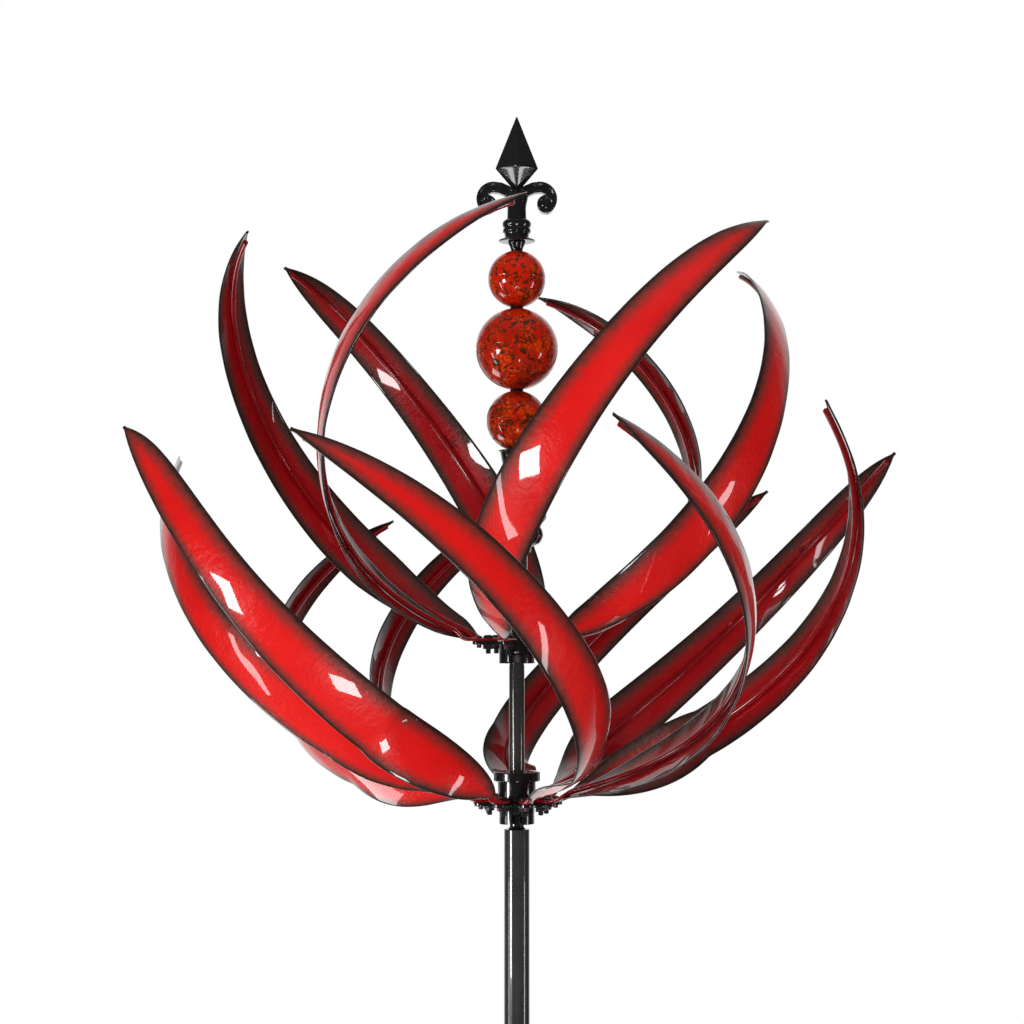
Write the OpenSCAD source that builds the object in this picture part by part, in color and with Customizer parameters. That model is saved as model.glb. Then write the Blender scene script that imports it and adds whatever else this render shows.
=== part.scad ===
// Two-rotor garden wind spinner on a three-section pole.
// The pole stands along Z. The ground surface is z = 0 and the fork goes below it.
// Azimuths are measured from the front (-Y) and grow anticlockwise seen from above.

/* [Pole] */
// Outside diameter of the pole tube
pole_d = 19; // [16:0.5:24]
// Wall of the pole tube
pole_wall = 1.5; // [1:0.1:2]
// Height of the top of the lowest section above the ground
lower_section = 470; // [350:5:600]
// Length of the middle section
middle_section = 450; // [350:5:600]
// Length of the top section
upper_section = 450; // [350:5:600]
// Length of each joining sleeve inside the pole
coupler_length = 100; // [60:5:140]
// Wall of the joining sleeves
coupler_wall = 1.5; // [1:0.1:2]

/* [Ground fork] */
// Diameter of the centre prong
stake_d = 14; // [10:0.5:15]
// Depth of the straight part of the centre prong
stake_depth = 150; // [100:5:250]
// Length of the centre prong's top inside the pole
stake_plug = 60; // [30:5:100]
// Length of each pointed end
point_length = 32; // [20:1:50]
// Distance from the pole axis to each side prong
prong_reach = 75; // [50:1:100]
// Diameter of the side prongs
prong_d = 10; // [6:0.5:14]
// Width of the step bar
step_width = 25; // [18:1:40]
// Thickness of the step bar
step_thickness = 4; // [3:0.5:8]
// Height of the underside of the step bar above the ground
step_height = 6; // [2:1:30]

/* [Spindle and bearings] */
// Diameter of the fixed spindle rod
spindle_d = 8; // [6:0.5:9]
// Radial gap between the rod and everything threaded onto it
slip = 0.05; // [0.02:0.01:0.1]
// Radial play left round the rotating pieces
play = 0.4; // [0.2:0.1:1]
// Outside diameter of a bearing
bearing_od = 16; // [14:0.5:18]
// Width of a bearing
bearing_w = 5; // [4:0.5:7]
// Diameter of the bearing balls
bearing_ball = 2; // [1.5:0.1:2.5]
// Number of balls in a bearing
bearing_balls = 9; // [6:1:11]
// Diameter of the neck under the lower hub
neck_d = 10.5; // [10:0.5:12]
// Height of the neck that shows above the pole
neck_h = 4; // [2:0.5:15]
// Diameter of the tube between the hubs
gap_tube_d = 11.5; // [10:0.5:14]
// Free length of tube between the two hubs
hub_gap = 80.5; // [50:0.5:140]
// Diameter of the tube above the upper hub
riser_d = 16; // [13:0.5:20]
// Length of the tube above the upper hub
riser_h = 66; // [40:1:120]

/* [Hubs] */
// Diameter of the sleeves under the blade plates
sleeve_d = 26.5; // [24:0.5:32]
// Height of the sleeves
sleeve_h = 14; // [13:0.5:24]
// Width of the locating slot in the sleeves
slot_w = 7.5; // [5:0.5:9]
// Height of the locating slot in the sleeves
slot_h = 9; // [6:0.5:10]
// Thickness of the blade plates
plate_t = 2.5; // [2:0.5:4]
// Radius of the solid middle of the blade plates
plate_r = 16; // [15:0.5:20]
// Radius of the ends of the plate's arms
arm_end = 34; // [33:0.5:45]
// Width of the arms
arm_w = 9.5; // [8:0.5:12]
// Diameter of the lower hub's body
body_d = 28; // [26:0.5:30]
// Height of the lower hub's body
body_h = 20; // [16:0.5:30]
// Diameter of the lower hub's cap
cap_d = 34.5; // [33:0.5:40]
// Height of the cap
cap_h = 7; // [5:0.5:12]
// Thickness of the top of the cap
cap_t = 2; // [1.5:0.5:4]

/* [Blade fixings] */
// Diameter of the bolts
bolt_d = 4; // [3:0.5:5]
// Radius of the circle of bolts
bolt_r = 22; // [21:0.5:23]
// Diameter of the locating pins
pin_d = 3.6; // [3:0.1:4]
// Radius of the circle of locating pins
pin_r = 29; // [28:0.5:30]
// Width of the flattened foot of a stem
foot_w = 8.5; // [7:0.5:9.5]
// Thickness of the flattened foot
foot_t = 2.5; // [2:0.1:3.5]
// Diameter of a blade's stem
stem_d = 4; // [3:0.5:5]
// Thickness of the blade sheet
sheet_t = 1.2; // [0.8:0.1:1.5]
// Gap filled by the weld between stem and blade
weld_gap = 0.3; // [0.2:0.1:0.5]

/* [Upper blades] */
// Radius of the root of the upper blades
upper_root_r = 36; // [36:1:42]
// Radius of the tips of the upper blades
upper_tip_r = 208; // [160:1:215]
// Height of the tips above the root
upper_rise = 294; // [200:1:330]
// Angle that a blade winds round the pole
upper_sweep = 75.5; // [40:0.5:90]
// Greatest width of an upper blade
upper_blade_w = 43.5; // [25:0.5:50]

/* [Lower blades] */
// Radius of the root of the lower blades
lower_root_r = 29; // [29:1:36]
// Radius of the tips of the lower blades
lower_tip_r = 325; // [300:1:400]
// Height of the tips above the root
lower_rise = 249; // [180:1:300]
// Angle that a blade winds round the pole
lower_sweep = 47.5; // [30:0.5:60]
// Greatest width of a lower blade
lower_blade_w = 43.5; // [25:0.5:50]

/* [Finial] */
// Diameter of the lowest ball
low_ball_d = 45.5; // [30:0.5:60]
// Diameter of the middle ball
mid_ball_d = 62; // [40:0.5:80]
// Diameter of the top ball
top_ball_d = 43.5; // [30:0.5:60]
// Wall of the hollow balls
ball_wall = 1.2; // [1:0.1:2]
// Space between two balls on the axis
ball_gap = 0.5; // [0.3:0.1:3]
// Height of the turned ornament
ornament_h = 75; // [60:1:110]
// Greatest radius of the turned ornament
ornament_r = 22.5; // [18:0.5:28]
// Height of the spear head
spear_h = 79.5; // [60:0.5:120]
// Greatest half width of the spear head
spear_r = 16.3; // [12:0.1:24]
// Half thickness of the spear head
spear_depth = 12; // [8:0.5:18]
// Thickness of the two scrolls
scroll_t = 9; // [6:0.5:12]

/* [Hidden] */
$fn = 64;
eps = 0.01;
gloss_black = [0.04, 0.04, 0.045];
blade_red = [0.83, 0.05, 0.04];
stem_red = [0.55, 0.03, 0.03];
ball_orange = [0.85, 0.2, 0.05];
steel = [0.7, 0.7, 0.72];

// heights of the pole's joints
step_top = step_height + step_thickness;
lower_joint = lower_section;
upper_joint = lower_joint + middle_section;
pole_top = upper_joint + upper_section;
pole_bore = pole_d / 2 - pole_wall;
rod_hole = spindle_d / 2 + slip;

// heights on the lower hub
lower_sleeve_z = pole_top + neck_h;
lower_plate_z = lower_sleeve_z + sleeve_h;
lower_root_z = lower_plate_z + plate_t;
lower_body_top = lower_root_z + body_h;
lower_cap_z = lower_body_top - cap_h + cap_t;
lower_cap_top = lower_cap_z + cap_h;

// heights on the upper hub
upper_sleeve_z = lower_cap_top + hub_gap;
upper_plate_z = upper_sleeve_z + sleeve_h;
upper_root_z = upper_plate_z + plate_t;
riser_z = upper_root_z + play;

// the four bearings, from the bottom up
seat_lip = 1;
bearing_z = [
  lower_plate_z - bearing_w, lower_body_top - bearing_w,
  upper_sleeve_z + seat_lip, upper_plate_z - bearing_w
];
race_t = 1.3;
inner_race_r = spindle_d / 2 + race_t;
outer_race_r = bearing_od / 2 - race_t;

// Height of the rim of a ball's hole above its middle.
function hole_height(d) = sqrt(pow(d / 2, 2) - pow(rod_hole, 2));

// heights on the finial
ornament_z = riser_z + riser_h;
saucer_z = ornament_z + ornament_h;
saucer_t = 2;
low_ball_z = saucer_z + saucer_t + hole_height(low_ball_d);
mid_ball_z = low_ball_z + low_ball_d / 2 + ball_gap + mid_ball_d / 2;
top_ball_z = mid_ball_z + mid_ball_d / 2 + ball_gap + top_ball_d / 2;
neck_z = top_ball_z + hole_height(top_ball_d);
neck_cup_h = 7;
collar_z = neck_z + neck_cup_h;
collar_h = 17;
spear_z = collar_z + collar_h;
spear_socket = 10;
plug_depth = 30;
rod_top = spear_z + spear_socket - 2;

// Blade curves: shares of the reach, rise, winding angle and width at the control points from root to tip.
upper_r_share = [0, 0.58, 0.98, 1.04, 0.975, 1];
upper_z_share = [0, 0.1, 0.35, 0.66, 0.92, 1];
upper_turn_share = [1, 0.915, 0.695, 0.615, 0.3, 0];
upper_width_share = [0.3, 1.25, 1.48, 0.03, 1.37, 0];
upper_twist = [-20, -12.5, -28, -59];
lower_r_share = [0, 0.29, 0.685, 0.84, 0.9, 1];
lower_z_share = [0, 0.08, 0.21, 0.54, 0.88, 1];
lower_turn_share = [1, 1.315, 0.73, 0.78, 0.25, 0];
lower_width_share = [0.76, 1.21, 1.1, 0.39, 1.15, 0];
lower_twist = [-40, -11.5, -18.5, -46];

// A blade family: [root radius, tip radius, rise, winding angle, width, camber, side of the upper edge,
// height of the root, share of the length where the stem starts, share where the sheet starts].
upper_family = [
  upper_root_r, upper_tip_r, upper_rise, -upper_sweep, upper_blade_w, 0.05, -1, upper_root_z, 0, 0.012
];
lower_family = [
  lower_root_r, lower_tip_r, lower_rise, lower_sweep, lower_blade_w, 0.06, 1, lower_root_z, 0.014, 0.03
];
upper_shape = [upper_r_share, upper_z_share, upper_turn_share, upper_width_share, upper_twist];
lower_shape = [lower_r_share, lower_z_share, lower_turn_share, lower_width_share, lower_twist];

// Tip azimuth of the first blade of each rotor.
upper_first = 0;
lower_first = 6;

// How each blade is bent by hand: swung round the pole, tilted up, wound further round the pole towards
// its tip (all in degrees) and leant out towards its tip (in hundredths of its reach).
upper_bends = [
  [0, 2, -1, 0], [-3, -1, 0, 1.5], [3, 2, -8.5, -2.5],
  [0, -0.5, -4.5, -0.5], [4.5, 7, -3, -6.5], [-4.5, -3.5, 3.5, -1]
];
lower_bends = [
  [0, 2, 5.5, -0.5], [-13.5, 6.5, 5, 11.5], [12.5, 3.5, -6, -9.5],
  [9, -2, -7, -20], [6.5, -1.5, 4, 0], [-9, -8, -3, 3],
  [-4.5, 6.5, 4.5, 3.5], [-19.5, 11, 16, -1], [6.5, 0, 2.5, 0.5]
];
upper_count = len(upper_bends);
lower_count = len(lower_bends);
swing_done = 0.25;
blade_stations = 20;
station_power = 1.2;
stem_sides = 6;
across = [-1, -0.5, 0, 0.5, 1];
tip_w = 2.4;
root_lift = 0.4;
stem_overrun = 3;
foot_gap = 1.5;

// ---------- blade curve ----------

function bezier(p, s) =
  len(p) == 1 ? p[0] : bezier([for (i = [0 : len(p) - 2]) p[i] * (1 - s) + p[i + 1] * s], s);
function unit(v) = v / norm(v);
function ramp(x) = x >= 1 ? 1 : x * x * (3 - 2 * x);

// A blade's centreline in its own frame: the foot points along +X.
function centre(f, shape, bend, s) =
  let (
    r = f[0] + (f[1] - f[0]) * (bezier(shape[0], s) + bend[3] / 100 * s * s),
    turn = f[3] * (bezier(shape[2], s) - 1) + bend[0] * ramp(s / swing_done) + bend[2] * s * s
  )
  [r * cos(turn), r * sin(turn), root_lift + f[2] * bezier(shape[1], s)];

// Place, width direction, outward direction and width at a share s of the length.
function station(f, shape, bend, s) =
  let (
    c = centre(f, shape, bend, s),
    ds = 0.004,
    t = unit(centre(f, shape, bend, min(1, s + ds)) - centre(f, shape, bend, max(0, s - ds))),
    out = unit([c[0], c[1], 0]),
    n = unit(out - (out * t) * t),
    d = cross(t, n) * f[6],
    twist = bezier(shape[4], s)
  )
  [c, d * cos(twist) + n * sin(twist), n * cos(twist) - d * sin(twist),
   max(tip_w, f[4] * bezier(shape[3], s)), t];

// Stations along a blade from share s0 to the tip, closer together near the root.
function stations(f, shape, bend, s0) =
  [for (i = [0 : blade_stations])
    let (share = pow(i / blade_stations, station_power)) station(f, shape, bend, s0 + (1 - s0) * share)];

// Faces of a tube of rings with n points each. A sheet's rings run out along one face and back along the
// other: both faces are cut along the same diagonals, and its ends are closed from face to face.
function ring_faces(rings, n, flip, sheet = false) =
  let (
    e = (rings - 1) * n,
    side = [for (i = [0 : rings - 2], j = [0 : n - 1])
      let (a = i * n + j, b = i * n + (j + 1) % n)
      each (sheet && j >= n / 2 ? [[a, b, a + n], [b, b + n, a + n]] : [[a, b, b + n], [a, b + n, a + n]])],
    strip = [for (j = [0 : n / 2 - 2]) each [
      [j + 1, j, n - 1 - j], [j + 1, n - 1 - j, n - 2 - j],
      [e + j, e + j + 1, e + n - 1 - j], [e + j + 1, e + n - 2 - j, e + n - 1 - j]]],
    fan = [for (j = [1 : n - 2]) each [[0, j + 1, j], [e, e + j, e + j + 1]]],
    all = concat(side, sheet ? strip : fan)
  )
  flip ? [for (q = all) [q[2], q[1], q[0]]] : all;

module blade_sheet(f, shape, bend) {
  rows = stations(f, shape, bend, f[9]);
  outer = [for (q = rows) [for (u = across) q[0] + q[1] * (u * q[3] / 2) - q[2] * (f[5] * q[3] * u * u)]];
  n = len(across);
  points = [for (i = [0 : blade_stations])
    each concat(outer[i], [for (j = [n - 1 : -1 : 0]) outer[i][j] - rows[i][2] * sheet_t])];
  polyhedron(points, ring_faces(blade_stations + 1, 2 * n, f[6] > 0, true));
}

// The rod starts inside the foot, rises to the sheet's inner face and ends a little past the tip.
module stem_rod(f, shape, bend) {
  rows = stations(f, shape, bend, f[9]);
  tip = rows[blade_stations];
  drop = sheet_t + weld_gap + stem_d / 2;
  rings = concat(
    [[[bezier_radius(f, shape, f[8]), 0, foot_t / 2], rows[0][1], rows[0][2], foot_t / 2]],
    [for (q = rows) [q[0] - q[2] * drop, q[1], q[2], stem_d / 2]],
    [[tip[0] - tip[2] * drop + tip[4] * stem_overrun, tip[1], tip[2], stem_d / 2]]
  );
  points = [for (q = rings, j = [0 : stem_sides - 1])
    let (a = 360 * (j + 0.5) / stem_sides) q[0] + (q[1] * cos(a) + q[2] * sin(a)) * q[3]];
  polyhedron(points, ring_faces(len(rings), stem_sides, f[6] < 0));
}

// Tilts a blade about the level line across its root.
module tilted(f, tilt) {
  translate([f[0], 0, 0]) rotate([0, -tilt, 0]) translate([-f[0], 0, 0]) children();
}

// Places something on the arm that carries blade number i.
module on_arm(f, first, count, i) {
  translate([0, 0, f[7]]) rotate([0, 0, first + f[3] + 360 * i / count - 90]) children();
}

module stem(f, shape, bend, foot_start) {
  foot_end = bezier_radius(f, shape, f[8]) + 3;
  difference() {
    union() {
      translate([foot_start, -foot_w / 2, 0]) cube([foot_end - foot_w / 2 - foot_start, foot_w, foot_t]);
      translate([foot_end - foot_w / 2, 0, 0]) cylinder(h = foot_t, d = foot_w);
      tilted(f, bend[1]) stem_rod(f, shape, bend);
    }
    translate([bolt_r, 0, -1]) cylinder(h = foot_t + 2, r = bolt_d / 2 + slip);
    translate([pin_r, 0, -1]) cylinder(h = foot_t + 2, r = pin_d / 2 + slip);
  }
}
function bezier_radius(f, shape, s) = f[0] + (f[1] - f[0]) * bezier(shape[0], s);

// ---------- small turned and pressed pieces ----------

module tube(z, h, r_out, r_in) {
  translate([0, 0, z]) difference() {
    cylinder(h = h, r = r_out);
    translate([0, 0, -1]) cylinder(h = h + 2, r = r_in);
  }
}

// A turned piece: a profile of [radius, height] points round the axis with the rod's hole through it.
module turned(z, profile, h) {
  translate([0, 0, z]) difference() {
    rotate_extrude() polygon(concat([[0, 0]], profile, [[0, h]]));
    translate([0, 0, -1]) cylinder(h = h + 2, r = rod_hole);
  }
}

module hollow_ball(z, d) {
  translate([0, 0, z]) difference() {
    sphere(d = d);
    sphere(d = d - 2 * ball_wall);
    translate([0, 0, -d]) cylinder(h = 2 * d, r = rod_hole);
  }
}

module bolt_head() {
  head_r = bolt_d * 0.95;
  head_h = bolt_d * 0.55;
  cylinder(h = head_h * 0.6, r = head_r);
  translate([0, 0, head_h * 0.6]) cylinder(h = head_h * 0.4, r1 = head_r, r2 = head_r * 0.7);
}

module flange_nut() {
  difference() {
    union() {
      translate([0, 0, -1]) cylinder(h = 1, d = bolt_d * 2.2);
      translate([0, 0, -0.85 * bolt_d]) cylinder(h = 0.85 * bolt_d, d = bolt_d * 2, $fn = 6);
    }
    translate([0, 0, -bolt_d]) cylinder(h = bolt_d + 1, r = bolt_d / 2 + slip);
  }
}

// ---------- ground fork and pole ----------

// A solid round bar with a point below. Its top is turned to fit inside the foot of the pole.
module centre_prong() color(gloss_black) {
  translate([0, 0, -stake_depth - point_length]) cylinder(h = point_length + eps, r1 = 0.8, r2 = stake_d / 2);
  translate([0, 0, -stake_depth]) cylinder(h = stake_depth + step_height, d = stake_d);
  translate([0, 0, step_height - eps]) cylinder(h = step_thickness + stake_plug + eps, r = pole_bore - slip);
}

module side_prongs() color(gloss_black)
  for (x = [-prong_reach, prong_reach]) translate([x, 0, 0]) {
    translate([0, 0, -stake_depth]) cylinder(h = stake_depth + step_height, d = prong_d);
    translate([0, 0, -stake_depth - point_length * 0.7])
      cylinder(h = point_length * 0.7 + eps, r1 = 0.8, r2 = prong_d / 2);
  }

module step_bar() color(gloss_black)
  translate([0, 0, step_height]) difference() {
    union() {
      translate([-prong_reach, -step_width / 2, 0]) cube([2 * prong_reach, step_width, step_thickness]);
      for (x = [-prong_reach, prong_reach]) translate([x, 0, 0]) cylinder(h = step_thickness, d = step_width);
    }
    translate([0, 0, -1]) cylinder(h = step_thickness + 2, r = pole_bore);
  }

module lower_pole() color(gloss_black) tube(step_top, lower_joint - step_top, pole_d / 2, pole_bore);
module middle_pole() color(gloss_black) tube(lower_joint, middle_section, pole_d / 2, pole_bore);
module upper_pole() color(gloss_black) tube(upper_joint, upper_section, pole_d / 2, pole_bore);

module pole_couplers() color(gloss_black)
  for (z = [lower_joint, upper_joint])
    tube(z - coupler_length / 2, coupler_length, pole_bore - slip, pole_bore - slip - coupler_wall);

// The plug closes the pole, holds the foot of the rod and carries the lowest bearing on its neck.
module pole_plug() color(gloss_black) {
  tube(pole_top - plug_depth, plug_depth, pole_bore - slip, rod_hole);
  tube(pole_top - eps, bearing_z[0] - pole_top + eps, neck_d / 2, rod_hole);
}

// ---------- spindle ----------

module spindle_rod() color(steel)
  translate([0, 0, pole_top - plug_depth]) cylinder(h = rod_top - pole_top + plug_depth, d = spindle_d);

module hub_inner_spacers() color(steel) {
  tube(bearing_z[0] + bearing_w, bearing_z[1] - bearing_z[0] - bearing_w, inner_race_r, rod_hole);
  tube(bearing_z[2] + bearing_w, bearing_z[3] - bearing_z[2] - bearing_w, inner_race_r, rod_hole);
}

module hub_gap_tube() color(gloss_black) {
  z0 = bearing_z[1] + bearing_w;
  tube(z0, play, inner_race_r, rod_hole);
  tube(z0 + play - eps, upper_sleeve_z - play - z0 - play + eps, gap_tube_d / 2, rod_hole);
  tube(upper_sleeve_z - play - eps, seat_lip + play + eps, inner_race_r, rod_hole);
}

module riser_tube() color(gloss_black) {
  tube(upper_plate_z, riser_z - upper_plate_z + eps, inner_race_r, rod_hole);
  tube(riser_z, riser_h, riser_d / 2, rod_hole);
}

// ---------- bearings ----------

module bearing_inner_rings() color(steel) for (z = bearing_z) tube(z, bearing_w, inner_race_r, rod_hole);
module outer_ring(z) tube(z, bearing_w, bearing_od / 2 - slip, outer_race_r);
module ball_row(z) {
  row_r = (inner_race_r + outer_race_r) / 2;
  for (i = [0 : bearing_balls - 1])
    rotate([0, 0, 360 * i / bearing_balls]) translate([row_r, 0, z + bearing_w / 2])
      sphere(d = min(bearing_ball, outer_race_r - inner_race_r - 2 * slip));
}
module lower_bearing_outer_rings() color(steel) for (i = [0, 1]) outer_ring(bearing_z[i]);
module upper_bearing_outer_rings() color(steel) for (i = [2, 3]) outer_ring(bearing_z[i]);
module lower_bearing_balls() color(steel) for (i = [0, 1]) ball_row(bearing_z[i]);
module upper_bearing_balls() color(steel) for (i = [2, 3]) ball_row(bearing_z[i]);

// ---------- hubs ----------

// A sleeve has a lip at its foot, a bearing seat above it and a round-topped slot towards the front.
module hub_sleeve(z, seat_z) color(gloss_black)
  translate([0, 0, z]) difference() {
    cylinder(h = sleeve_h, d = sleeve_d);
    translate([0, 0, -1]) cylinder(h = sleeve_h + 2, r = outer_race_r);
    translate([0, 0, seat_z - z]) cylinder(h = sleeve_h, d = bearing_od);
    translate([-slot_w / 2, -sleeve_d, -1]) cube([slot_w, sleeve_d, slot_h - slot_w / 2 + 1]);
    translate([0, 0, slot_h - slot_w / 2]) rotate([90, 0, 0]) cylinder(h = sleeve_d, d = slot_w);
  }
module lower_hub_sleeve() hub_sleeve(lower_sleeve_z, bearing_z[0]);
module upper_hub_sleeve() hub_sleeve(upper_sleeve_z, bearing_z[2]);

// A star plate with one rounded arm for each blade.
module hub_plate(f, first, count) color(gloss_black)
  difference() {
    union() {
      translate([0, 0, f[7] - plate_t]) cylinder(h = plate_t, r = plate_r);
      for (i = [0 : count - 1]) on_arm(f, first, count, i) translate([0, 0, -plate_t]) {
        translate([0, -arm_w / 2, 0]) cube([arm_end - arm_w / 2, arm_w, plate_t]);
        translate([arm_end - arm_w / 2, 0, 0]) cylinder(h = plate_t, d = arm_w);
      }
    }
    translate([0, 0, f[7] - plate_t - 1]) cylinder(h = plate_t + 2, r = outer_race_r);
    for (i = [0 : count - 1]) on_arm(f, first, count, i) {
      translate([bolt_r, 0, -plate_t - 1]) cylinder(h = plate_t + 2, r = bolt_d / 2 + slip);
      translate([pin_r, 0, -plate_t - 1]) cylinder(h = plate_t + 2, r = pin_d / 2 + slip);
    }
  }
module lower_hub_plate() hub_plate(lower_family, lower_first, lower_count);
module upper_hub_plate() hub_plate(upper_family, upper_first, upper_count);

module lower_hub_body() color(gloss_black)
  translate([0, 0, lower_root_z]) difference() {
    cylinder(h = body_h, d = body_d);
    translate([0, 0, -1]) cylinder(h = body_h + 2, r = outer_race_r);
    translate([0, 0, body_h - bearing_w]) cylinder(h = bearing_w + 1, d = bearing_od);
  }

module lower_hub_cap() color(gloss_black)
  translate([0, 0, lower_cap_z]) difference() {
    cylinder(h = cap_h, d = cap_d);
    translate([0, 0, -1]) cylinder(h = cap_h - cap_t + 1, r = body_d / 2 + slip);
    translate([0, 0, -1]) cylinder(h = cap_h + 2, r = gap_tube_d / 2 + play);
  }

// ---------- blades and their fixings ----------

module lower_blade(i) color(blade_red) on_arm(lower_family, lower_first, lower_count, i)
  tilted(lower_family, lower_bends[i][1]) blade_sheet(lower_family, lower_shape, lower_bends[i]);
module upper_blade(i) color(blade_red) on_arm(upper_family, upper_first, upper_count, i)
  tilted(upper_family, upper_bends[i][1]) blade_sheet(upper_family, upper_shape, upper_bends[i]);

module lower_blade_stems() color(stem_red)
  for (i = [0 : lower_count - 1]) on_arm(lower_family, lower_first, lower_count, i)
    stem(lower_family, lower_shape, lower_bends[i], body_d / 2 + foot_gap);
module upper_blade_stems() color(stem_red)
  for (i = [0 : upper_count - 1]) on_arm(upper_family, upper_first, upper_count, i)
    stem(upper_family, upper_shape, upper_bends[i], riser_d / 2 + foot_gap);

bolt_tail = bolt_d * 1.7;
module bolts(f, first, count) color(gloss_black)
  for (i = [0 : count - 1]) on_arm(f, first, count, i) translate([bolt_r, 0, 0]) {
    translate([0, 0, foot_t]) bolt_head();
    translate([0, 0, -plate_t - bolt_tail]) cylinder(h = plate_t + bolt_tail + foot_t + eps, d = bolt_d);
  }
module nuts(f, first, count) color(gloss_black)
  for (i = [0 : count - 1]) on_arm(f, first, count, i) translate([bolt_r, 0, -plate_t]) flange_nut();
module pins(f, first, count) color(stem_red)
  for (i = [0 : count - 1]) on_arm(f, first, count, i) translate([pin_r, 0, -plate_t - 2.5]) {
    cylinder(h = plate_t + foot_t + 4.5, d = pin_d);
    translate([0, 0, plate_t + foot_t + 2.5 - eps]) cylinder(h = 1.2, d = pin_d + 1.4);
  }
module lower_blade_bolts() bolts(lower_family, lower_first, lower_count);
module lower_blade_nuts() nuts(lower_family, lower_first, lower_count);
module lower_blade_pins() pins(lower_family, lower_first, lower_count);
module upper_blade_bolts() bolts(upper_family, upper_first, upper_count);
module upper_blade_nuts() nuts(upper_family, upper_first, upper_count);
module upper_blade_pins() pins(upper_family, upper_first, upper_count);

// ---------- finial ----------

module turned_ornament() color(gloss_black) {
  h = ornament_h;
  r = ornament_r;
  turned(ornament_z, [
    [riser_d / 2 + 2, 0], [riser_d / 2 + 3, 2], [riser_d / 2 + 2.5, 4],
    [r * 0.8, h * 0.1], [r * 0.9, h * 0.16], [r * 0.88, h * 0.22], [r * 0.8, h * 0.27], [r * 0.86, h * 0.3],
    [r, h * 0.35], [r, h * 0.45], [r * 0.85, h * 0.5], [r * 0.58, h * 0.6], [r * 0.44, h * 0.72],
    [r * 0.42, h * 0.82], [r * 0.5, h * 0.92], [r * 0.55, h]
  ], h);
}

module ball_saucer() color(gloss_black) {
  r = ornament_r * 0.62;
  translate([0, 0, saucer_z]) difference() {
    cylinder(h = saucer_t, r1 = r * 0.9, r2 = r);
    translate([0, 0, low_ball_z - saucer_z]) sphere(d = low_ball_d + 2 * slip);
    translate([0, 0, -1]) cylinder(h = saucer_t + 2, r = rod_hole);
  }
}

module low_ball() color(ball_orange) hollow_ball(low_ball_z, low_ball_d);
module mid_ball() color(ball_orange) hollow_ball(mid_ball_z, mid_ball_d);
module top_ball() color(ball_orange) hollow_ball(top_ball_z, top_ball_d);

// A short tube fills the space between two balls. Its flat ends meet the rims of their holes.
module ball_spacer(z_below, d_below, z_above, d_above) {
  z0 = z_below + hole_height(d_below);
  tube(z0, z_above - hole_height(d_above) - z0, rod_hole + 1, rod_hole);
}
module ball_spacers() color(gloss_black) {
  ball_spacer(low_ball_z, low_ball_d, mid_ball_z, mid_ball_d);
  ball_spacer(mid_ball_z, mid_ball_d, top_ball_z, top_ball_d);
}

module finial_neck() color(gloss_black)
  difference() {
    turned(neck_z - 1, [[4.9, 0], [4.9, 3], [6.2, 4.4], [7.6, 6.6], [7.6, 7.2], [5.6, 8]], neck_cup_h + 1);
    translate([0, 0, top_ball_z]) sphere(d = top_ball_d + 2 * slip);
  }

module finial_collar() color(gloss_black)
  turned(collar_z, [
    [12.6, 0], [13.9, 0.6], [13.6, 1.4], [10.8, 3], [10.9, 6], [10, 7.6], [10.6, 9], [11, 11], [10.7, 13],
    [11.2, 13.8], [10.4, 15], [8.2, 16.4], [8, 17]
  ], collar_h);

// One scroll: an arm that leaves the stem, arches over and curls under to a round end.
module scroll_outline() {
  difference() {
    union() {
      translate([17.5, 15.6]) circle(r = 12.8);
      translate([2, 20]) square([15.5, 8.4]);
    }
    translate([11.5, 14.5]) circle(r = 5.2);
    translate([6.3, -2]) square([15.7, 13.5]);
    translate([6.3, 0]) square([10.4, 14.5]);
  }
  translate([22.2, 11.5]) circle(r = 6.9);
}

// The spear head has four flat facets above its widest line and four that draw in to a blunt end below it.
module finial_spear() color(gloss_black) {
  wide_z = spear_h * 0.497;
  foot_z = spear_h * 0.22;
  foot_r = 4;
  stem_h = 29;
  stem_r = 7.4;
  translate([0, 0, spear_z]) difference() {
    union() {
      polyhedron(
        [
          [spear_r, 0, wide_z], [0, spear_depth, wide_z], [-spear_r, 0, wide_z], [0, -spear_depth, wide_z],
          [foot_r, 0, foot_z], [0, foot_r, foot_z], [-foot_r, 0, foot_z], [0, -foot_r, foot_z],
          [0, 0, spear_h]
        ],
        [
          [0, 8, 1], [1, 8, 2], [2, 8, 3], [3, 8, 0],
          [0, 1, 5], [0, 5, 4], [1, 2, 6], [1, 6, 5], [2, 3, 7], [2, 7, 6], [3, 0, 4], [3, 4, 7],
          [4, 5, 6], [4, 6, 7]
        ]
      );
      cylinder(h = stem_h, r = stem_r);
      for (side = [0, 1]) mirror([side, 0, 0])
        translate([0, scroll_t / 2, 0]) rotate([90, 0, 0]) linear_extrude(scroll_t) scroll_outline();
    }
    translate([0, 0, -1]) cylinder(h = spear_socket + 1, r = rod_hole);
  }
}

// ---------- assembly ----------

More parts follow.
